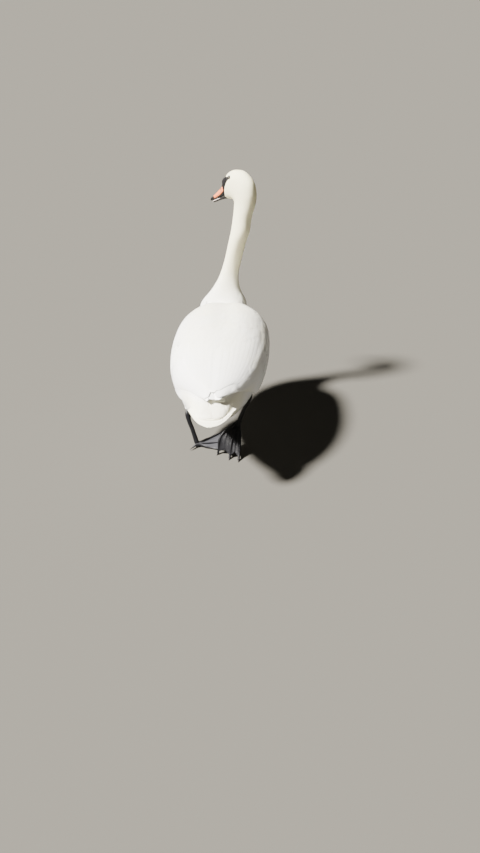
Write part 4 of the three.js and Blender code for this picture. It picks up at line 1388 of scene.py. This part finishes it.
class SWAN_OT_mantle(bpy.types.Operator):
    """Lays the mantle and shoulder feathers over the back and the wings' upper edges"""

    bl_idname = "swan.mantle"
    bl_label = "Mantle feathers"

    def execute(self, context):
        settings = context.scene.swan_plumage
        chart = Chart(mantle_surface, (0, 10), (-1.2, 1.2), (500, 360))
        rng = np.random.default_rng(55)
        aside = np.abs(chart.q)
        keep = chart.p < 4.0 - 1.6 * aside - 0.3 * np.cos(chart.q * 9)
        keep &= aside < 0.93 - 0.06 * np.sin(chart.p * 11)
        layer = scattered(
            chart, keep, growth(MANTLE_GROWTH), 23, rng, "soft", long=(2.75, 2.9),
            wide=(1.8, 2.0), lift=(-0.06, 0.04), turn=0.05, lean=0.25, depth=1.8,
            base=lambda k, q: 2.0 - 1.4 * np.abs(q) ** 2, fringe=0.06, thick=0.18,
            camber=0.008, notch=0.05, seed=56,
        )
        # The innermost long feathers of both wings meet and overlap along the middle.
        count = 19
        j = np.linspace(-1, 1, count)
        right = np.maximum(j, 0)
        inner = vanes(
            chart, (4.0 + 0.8 * rng.uniform(0, 1, count), 0.58 * j + 0.14 * right), 230, 44,
            "flight",
            to=(9.2 - 1.7 * np.abs(j) ** 1.3 + rng.uniform(-0.1, 0.1, count),
                0.46 * j + 0.02 + 0.32 * right),
            depth=0.5, base=1.3 - 0.5 * np.abs(j), lift=-1.1 * np.abs(j),
            tilt=-0.4 * np.sign(j), columns=9, notch=0.02, fringe=0.06, thick=0.22, seed=57,
        )
        # Under them the tips of the longest wing feathers close the gap over the rump.
        j = np.linspace(-1, 1, 9)
        tips = vanes(
            chart, (6.2 + 0 * j, 0.55 * j), 200, 30, "flight",
            to=(9.95 - 0.5 * j * j, 0.5 * j + 0.05), depth=2.0, base=-4.5 + 1.5 * np.abs(j),
            lift=-1.5, tilt=-0.8 * np.sign(j), columns=7, thick=0.3, seed=60,
        )
        # Long shoulder feathers with scattered tips bridge from mantle to them.
        keep = (chart.p > 2.0 - 0.8 * aside) & (chart.p < 4.9 - 1.9 * aside) & (aside < 0.95)
        roots = chart.scatter(21, keep, 29)
        n = len(roots[0])
        shoulder = vanes(
            chart, roots, rng.uniform(88, 93, n), rng.uniform(33, 37, n), "covert",
            depth=1.8, base=1.5 - 0.8 * np.abs(roots[1]) ** 2, lift=rng.uniform(-0.06, 0.04, n),
            turn=rng.normal(0, 0.03, n) + 0.12 * roots[1], columns=7, notch=0.03, fringe=0.06,
            thick=0.18, camber=0.005, seed=58,
        )
        coat_piece("mantle", [layer, shoulder, inner, tips], plumage_material(settings))
        return {"FINISHED"}


class SWAN_OT_tail(bpy.types.Operator):
    """Lays the tail's long feathers and the coverts over and under their roots"""

    bl_idname = "swan.tail"
    bl_label = "Tail feathers"

    def execute(self, context):
        settings = context.scene.swan_plumage
        chart = Chart(tail_surface, (0, 1), (-1.04, 1.04), (240, 240))
        rng = np.random.default_rng(61)
        count = 20
        w = np.linspace(-0.93, 0.93, count)
        layers = [vanes(
            chart, (0.02 + 0 * w, 0.72 * w), 126, 30, "fan",
            to=(1 - rng.uniform(0, 0.012, count), 0.95 * w), depth=1.0,
            base=0.5 - 1.6 * np.abs(w), lift=0.3 + 1.5 * np.abs(w) ** 3,
            tilt=-0.4 * np.sign(w), columns=7, notch=0.02, thick=0.25, fringe=0.03, seed=62,
        )]
        for under, rows, seed in ((False, (0.0, 0.16, 0.34), 63), (True, (0.0, 0.2, 0.42), 67)):
            for step, start in enumerate(rows):
                count = 17 - step
                w = np.linspace(-0.95, 0.95, count) + 0.02 * step
                layers.append(vanes(
                    chart, (start + 0 * w, w), rng.uniform(62, 74, count), 20, "covert",
                    to=(start + 0.56 - 0.03 * np.abs(w) + rng.uniform(-0.03, 0.03, count), w),
                    depth=1.4, base=(3.6 - 1.0 * step) * (1 - 0.25 * np.abs(w)),
                    lift=rng.uniform(-0.3, 0.3, count), notch=0.05, thick=0.25, camber=0.01,
                    under=under, seed=seed + step,
                ))
        coat_piece("tail_feathers", layers, plumage_material(settings), ["tail"])
        return {"FINISHED"}


class SWAN_OT_thighs(bpy.types.Operator):
    """Lays the soft feathers of the thighs"""

    bl_idname = "swan.thighs"
    bl_label = "Thigh feathers"

    def execute(self, context):
        plumage = plumage_material(context.scene.swan_plumage)
        rng = np.random.default_rng(71)
        for name in LEGS:
            leg = leg_points(name)
            place = lambda at, a: thigh_surface(leg, at, a)
            chart = Chart(place, (0.0, 1.0), (0, 2 * math.pi), (160, 120), wrap=True, out=-1)
            layer = scattered(
                chart, (chart.p > 0.1) & (chart.p < 0.97), lambda at: mix(*THIGH_GROWTH, at**2),
                2, rng, "plume", long=(2.7, 2.9), wide=(1.5, 1.7), lift=(-0.1, 0.3), turn=0.08,
                depth=1.2, thick=0.3, camber=0.01, columns=4, seed=72, notch=0.06, fringe=0.08,
            )
            coat_piece("thigh_coat_" + name, [layer], plumage, ["thigh_" + name])
        return {"FINISHED"}


# ---------------------------------------------------------------- face
def bill_surface(rows, at, a, grow=0.0):
    """A bill part in the head's frame: rows read along the bill, with a flattened ellipse about
    their middle. Returns forward, sideways and up."""
    s = spline(rows, np.broadcast_to(at, np.broadcast(at, a).shape))
    f, top, bottom, half = np.moveaxis(s, -1, 0)
    x = (half + grow) * squared(np.cos(a), BILL_ROUNDNESS)
    u = (top + bottom) / 2 + ((top - bottom) / 2 + grow) * squared(np.sin(a), BILL_ROUNDNESS)
    return f, x, u


def nostril(f, x, u):
    """How deep the nostril is at a place: 1 in a slanted slit on each side, 0 outside."""
    ahead, above = f - NOSTRIL_AT[0], u - NOSTRIL_AT[1]
    along = (ahead * 0.9 - above * 0.43) / NOSTRIL_HALF[0]
    over = (ahead * 0.43 + above * 0.9) / NOSTRIL_HALF[1]
    return np.exp(-(along**4) - over**2) * smooth(2.5, 5, np.abs(x))


def bill_bridge(a, nail_at):
    """The upper bill up to its nail. The culmen narrows between knob and nail, and the nostril
    sinks in. dark is 1 at the feathers, along the rim, at the tip, and in the nostril, where it is
    painted shade for the opening."""
    f, x, u = bill_surface(BILL_UPPER, column(0, nail_at, 130), a)
    narrow = smooth(40, 60, f) * (1 - smooth(88, 104, f))
    x = x * (1 - 0.16 * np.maximum(np.sin(a), 0) * narrow)
    sunk = nostril(f, x, u)
    x = x * (1 - 0.30 * sunk)
    u = u - 1.2 * sunk
    ends = smooth(44.5, 42.5, f - 0.09 * (u + 20) + 0.8 * np.sin(u * 0.9))
    rim = u - np.interp(f, BILL_UPPER[:, 0], BILL_UPPER[:, 2])
    edge = smooth(0.6, -0.6, rim - np.interp(f, EDGE_FORWARD, EDGE_HIGH))
    tip = smooth(98.5, 100.5, f + 0.04 * x * x)
    # The nostril's black is painted shade standing for its open hole.
    dark = np.maximum.reduce([ends, edge, tip, 0.95 * smooth(0.45, 0.8, sunk)])
    return closed_grid(head_point(f, x, u), dark=dark)


class SWAN_OT_bill(bpy.types.Operator):
    """Makes the bill's bridge, nail, lower half and tongue, and the knob"""

    bl_idname = "swan.bill"
    bl_label = "Bill"

    def execute(self, context):
        settings = context.scene.swan_face
        black = grained_material("black_horn", settings.horn)
        a = angles(96)
        last = len(BILL_UPPER) - 1
        nail_at = float(np.interp(NAIL_FROM, BILL_UPPER[:, 0], np.arange(last + 1)))
        shape = bill_bridge(a, nail_at)
        make_piece("bill_bridge", shape, bill_material(settings), ["bill_upper"])

        f, x, u = bill_surface(BILL_UPPER, column(nail_at + 0.03, last, 40), a, 0.25)
        shape = closed_grid(head_point(f, x, u - 1.2 * smooth(108, 116, f)))
        make_piece("bill_nail_tip", shape, black, ["bill_nail"])

        f, x, u = bill_surface(BILL_LOWER, column(0, len(BILL_LOWER) - 1, 90), a)
        groove = 1.6 * np.exp(-((x / 3.5) ** 2)) * (np.sin(a) < 0) * smooth(104, 92, f)
        shape = closed_grid(head_point(f, x, u + groove))
        olive = grained_material("lower_bill", settings.lower)
        make_piece("bill_under", shape, olive, ["bill_lower"])

        f, x, u = bill_surface(TONGUE, column(0, len(TONGUE) - 1, 60), a)
        teeth = 0.35 * np.sin(f * 3.0) * np.abs(np.cos(a)) ** 3
        shape = closed_grid(head_point(f, x + teeth * np.sign(x), u))
        pink = grained_material("tongue_pink", settings.tongue)
        make_piece("tongue_flesh", shape, pink, ["tongue"])

        shape = lobe(*KNOB_AT, 0, KNOB_HALF, KNOB_PITCH)
        for numbers in KNOB_LOBES:
            shape.join(lobe(*numbers))
        piece = make_piece("knob", shape, black, ["bill_knob"])
        weld(piece, WELD_SIZE, KNOB_ROUNDS)
        return {"FINISHED"}


def lobe(f, u, x, half, pitch):
    """An ellipsoid in the head's frame with half sizes along, up and across, tipped forward."""
    polar, a = column(0.03, math.pi - 0.03, 48), angles(48)
    f0 = -half[0] * np.cos(polar) * np.ones_like(a)
    u0, x0 = half[1] * np.sin(polar) * np.cos(a), half[2] * np.sin(polar) * np.sin(a)
    c, s = math.cos(pitch), math.sin(pitch)
    return closed_grid(head_point(f + f0 * c + u0 * s, x + x0, u - f0 * s + u0 * c))


class SWAN_OT_eyes(bpy.types.Operator):
    """Makes the two eyeballs"""

    bl_idname = "swan.eyes"
    bl_label = "Eyes"

    def execute(self, context):
        settings = context.scene.swan_face
        # A sphere by its angle from outward and its turn, bulging a little in front. The iris is
        # a ring of those angles.
        polar, a = column(0.02, math.pi - 0.02, 40), angles(48)
        cap = EYE_RADIUS * (1 + 0.035 * smooth(0.75, 0.35, polar))
        iris = smooth(0.42, 0.46, polar) * smooth(0.84, 0.80, polar) * np.ones_like(a)
        for side, name in ((-1, "left"), (1, "right")):
            centre, out, forward, up = eye_frame(side)
            local = (
                centre + (cap * np.cos(polar))[..., None] * out
                + (cap * np.sin(polar) * np.cos(a))[..., None] * forward
                + (cap * np.sin(polar) * np.sin(a))[..., None] * up
            )
            shape = closed_grid(head_point(*np.moveaxis(local, -1, 0)), flip=side > 0, iris=iris)
            make_piece("eyeball_" + name, shape, eye_material(settings), ["eye_" + name])
        return {"FINISHED"}


# ---------------------------------------------------------------- legs
def rod(points, radius, steps, sides):
    """A closed tube along a curve, its radius a function of the place along it and the angle."""
    at, a = np.broadcast_arrays(column(0, 1, steps), angles(sides))
    return closed_grid(tube(points, radius(at, a), at, a))


def toe_lines(leg):
    """The three front toes and the hind toe as lists of points."""
    lines = [[leg["knuckle"], bend, tip] for bend, tip in zip(leg["bends"], leg["tips"])]
    return lines, [leg["knuckle"], mix(leg["knuckle"], leg["hind"], 0.6), leg["hind"]]


def toe_radius(at, a):
    """A toe's radius: a taper that swells at its joints, with scutes on top."""
    scutes = 0.3 * np.abs(np.sin(at * math.pi * 22)) * np.maximum(np.sin(a), 0)
    return mix(*TOE_RADIUS, at) * (1 + TOE_SWELL * np.cos(at * 6 * math.pi)) + scutes


def web(one, other):
    """The sheet between two toes: ruled between their middle lines, thickened along its own
    normal, with soft folds that fan out and a hollow front edge."""
    reach = lambda v, w: v * (WEB_REACH - WEB_HOLLOW * np.sin(math.pi * w))
    at = lambda v, w: mix(curve(one, reach(v, w)), curve(other, reach(v, w)), w[..., None])
    v, w = np.broadcast_arrays(column(WEB_FROM, 1, 60), row(0, 1, 50))
    e = 0.01
    dv = at(np.minimum(v + e, 1), w) - at(v - e, w)
    dw = at(v, np.minimum(w + e, 1)) - at(v, np.maximum(w - e, 0))
    normal = unit(np.cross(dv, dw))
    fold = 0.55 * np.sin(w * math.pi * 6) * np.sin(w * math.pi) * v
    middle = at(v, w) + normal * fold[..., None]
    half = normal * (WEB_THICK / 2) * mix(1, 0.85, v)[..., None]
    return closed_grid(np.concatenate([middle + half, (middle - half)[:, ::-1]], 1))


def shank_rings(leg, full):
    """The shank: an oval about its curve, swollen at ankle and knuckle, with shallow scutes in
    front. Its width across is multiplied by full."""
    ankle, knuckle = leg["ankle"], leg["knuckle"]
    points = [mix(ankle, leg["calf"], 0.5), ankle, mix(ankle, knuckle, 0.5),
              mix(knuckle, ankle, 0.04)]
    at, a = np.broadcast_arrays(column(0, 1, 160), angles(56))
    swell = 1 + ANKLE_SWELL * np.exp(-(((at - ANKLE_AT) / ANKLE_SPREAD) ** 2))
    swell = swell + KNUCKLE_SWELL * np.maximum(0, at - 0.75)
    way = heading(points, at)
    front = unit(np.cross(way, leg["across"]))
    side = np.cross(front, way)
    scutes = 0.5 * np.abs(np.sin(at * math.pi * 26)) ** 0.6 * np.maximum(np.cos(a), 0) ** 0.5
    deep = (SHANK_HALF[0] * swell + scutes - 0.25) * np.cos(a)
    wide = SHANK_HALF[1] * swell * full * np.sin(a)
    return curve(points, at) + deep[..., None] * front + wide[..., None] * side


def heel(leg):
    """The ball under the knuckle: a sphere by its angle from straight down and its turn."""
    polar, a = column(0.03, math.pi - 0.03, 30), angles(36)
    ball = np.stack(np.broadcast_arrays(
        np.sin(polar) * np.cos(a), np.sin(polar) * np.sin(a), -np.cos(polar)
    ), -1)
    return closed_grid(leg["knuckle"] - [0, 0, HEEL_DROP] + HEEL_RADIUS * ball)


class SWAN_OT_legs(bpy.types.Operator):
    """Makes each bare leg and webbed foot as one skin, and the claws"""

    bl_idname = "swan.legs"
    bl_label = "Legs and feet"

    def execute(self, context):
        settings = context.scene.swan_legs
        skin = grained_material("black_leg", settings.skin, settings.sheen, settings.dust_and_sheen)
        horn = grained_material("claw_horn", settings.claw)
        for name in LEGS:
            leg = leg_points(name)
            lines, hind = toe_lines(leg)
            shape = closed_grid(shank_rings(leg, SHANK_FULL[name]), flip=True)
            for line in lines:
                shape.join(rod(line, toe_radius, 110, 28))
            shape.join(rod(hind, lambda at, a: mix(*HIND_RADIUS, at), 30, 20))
            shape.join(heel(leg))
            shape.join(web(lines[0], lines[1])).join(web(lines[1], lines[2]))
            shape.points[:, 2] = np.maximum(shape.points[:, 2], 0)
            nodes = ["shank_" + name, "foot_" + name]
            weld(make_piece("leg_" + name, shape, skin, nodes), WELD_SIZE, LEG_ROUNDS)
            ends = [(line, toe, CLAW_RADIUS[0]) for line, toe in zip(lines, TOES)]
            for line, toe, thick in [*ends, (hind, "hind", CLAW_RADIUS[1])]:
                shape = claw(line, thick)
                make_piece(f"nail_{name}_{toe}", shape, horn, [f"claw_{name}_{toe}"])
        return {"FINISHED"}


def claw(line, thick):
    """A claw: a tube from inside the toe's end to a point just over the floor."""
    start, way = curve(line, 1.0), heading(line, 0.999)
    level = unit(np.array([way[0], way[1], max(way[2], -0.3)]))
    tip = start + level * CLAW_LENGTH
    tip[2] = max(min(start[2] - 1, tip[2]), CLAW_TIP_Z)
    points = [start - level * CLAW_ROOT, mix(start, tip, 0.5) + [0, 0, 1], tip]
    shape = rod(points, lambda at, a: mix(thick, CLAW_POINT, at**1.2), 30, 24)
    shape.points[:, 2] = np.maximum(shape.points[:, 2], CLAW_CLEAR)
    return shape


def weld(piece, size, rounds):
    """Turns the overlapping closed shells of a piece into one skin on a grid of the given size
    and smooths it that many rounds."""
    remesh = piece.modifiers.new("weld", "REMESH")
    remesh.mode = "VOXEL"
    remesh.voxel_size = size
    remesh.use_smooth_shade = True
    relax = piece.modifiers.new("relax", "SMOOTH")
    relax.factor, relax.iterations = 0.5, rounds
    graph = bpy.context.evaluated_depsgraph_get()
    mesh = bpy.data.meshes.new_from_object(piece.evaluated_get(graph))
    piece.modifiers.clear()
    old, piece.data = piece.data, mesh
    bpy.data.meshes.remove(old)
    mesh.name = piece.name
    for layer in list(mesh.uv_layers):
        mesh.uv_layers.remove(layer)


# ---------------------------------------------------------------- stage
class SWAN_OT_stage(bpy.types.Operator):
    """Makes the pale floor, soft studio light and the camera"""

    bl_idname = "swan.stage"
    bl_label = "Stage"

    def execute(self, context):
        scene, settings = context.scene, context.scene.swan_stage
        mesh = bpy.data.meshes.new("floor")
        corners = [(x * FLOOR_HALF, y * FLOOR_HALF, 0) for x, y in FLOOR_CORNERS]
        mesh.from_pydata(corners, [], [(0, 1, 2, 3)])
        plain = lambda tree: (settings.floor, None)
        mesh.materials.append(material("plain_floor", 1.0, plain, Specular_IOR_Level=0.0))
        floor = add_object("floor", mesh)

        world = bpy.data.worlds.new("studio")
        world.use_nodes = True
        tree = world.node_tree
        way = tree.nodes.new("ShaderNodeTexCoord").outputs["Generated"]
        up = node(tree, "ShaderNodeSeparateXYZ", way).outputs["Z"]
        strength = ramp(tree, up, *SKY_FALL, HORIZON, ZENITH, kind="SMOOTHSTEP")
        feed(tree, tree.nodes["Background"].inputs["Color"], SKY_COLOUR)
        feed(tree, tree.nodes["Background"].inputs["Strength"], strength)
        scene.world = world
        sun = bpy.data.lights.new("key", "SUN")
        sun.energy, sun.angle, sun.color = SUN_STRENGTH, SUN_WIDTH, SUN_COLOUR
        add_object("key", sun).rotation_euler = settings.sun
        lens = bpy.data.cameras.new("view")
        lens.sensor_width, lens.lens = 36, settings.lens
        camera = add_object("view", lens)
        shift = SHIFT * MM
        camera.location = (
            settings.aside + shift[0], shift[1] - settings.distance, settings.height
        )
        camera.rotation_euler = (math.pi / 2 - settings.pitch, 0, 0)
        scene.camera = camera
        return {"FINISHED"}


STEPS = (
    SWAN_OT_stage, SWAN_OT_skin, SWAN_OT_body_coat, SWAN_OT_neck_coat, SWAN_OT_head_coat,
    SWAN_OT_wings, SWAN_OT_mantle, SWAN_OT_tail, SWAN_OT_thighs, SWAN_OT_bill, SWAN_OT_eyes,
    SWAN_OT_legs,
)
GROUPS = {
    "swan_plumage": SwanPlumage, "swan_face": SwanFace, "swan_legs": SwanLegs,
    "swan_stage": SwanStage,
}


class SWAN_PT_panel(bpy.types.Panel):
    """Lists the swan's settings and pieces"""

    bl_idname = "SWAN_PT_panel"
    bl_label = "Swan"
    bl_space_type = "VIEW_3D"
    bl_region_type = "UI"
    bl_category = "Swan"

    def draw(self, context):
        for label in GROUPS:
            settings = getattr(context.scene, label)
            box = self.layout.box()
            for key in settings.__annotations__:
                box.prop(settings, key)
        for step in STEPS:
            self.layout.operator(step.bl_idname)


def register():
    """Adds the classes and each group of settings to the scene."""
    for made in (*GROUPS.values(), *STEPS, SWAN_PT_panel):
        bpy.utils.register_class(made)
    for label, kind in GROUPS.items():
        setattr(bpy.types.Scene, label, bpy.props.PointerProperty(type=kind))


def unregister():
    """Takes away what register() added."""
    for label in GROUPS:
        delattr(bpy.types.Scene, label)
    for made in (SWAN_PT_panel, *reversed(STEPS), *reversed(tuple(GROUPS.values()))):
        bpy.utils.unregister_class(made)


def main():
    """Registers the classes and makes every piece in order."""
    register()
    for step in STEPS:
        area, name = step.bl_idname.split(".")
        getattr(getattr(bpy.ops, area), name)()


if __name__ == "__main__":
    main()
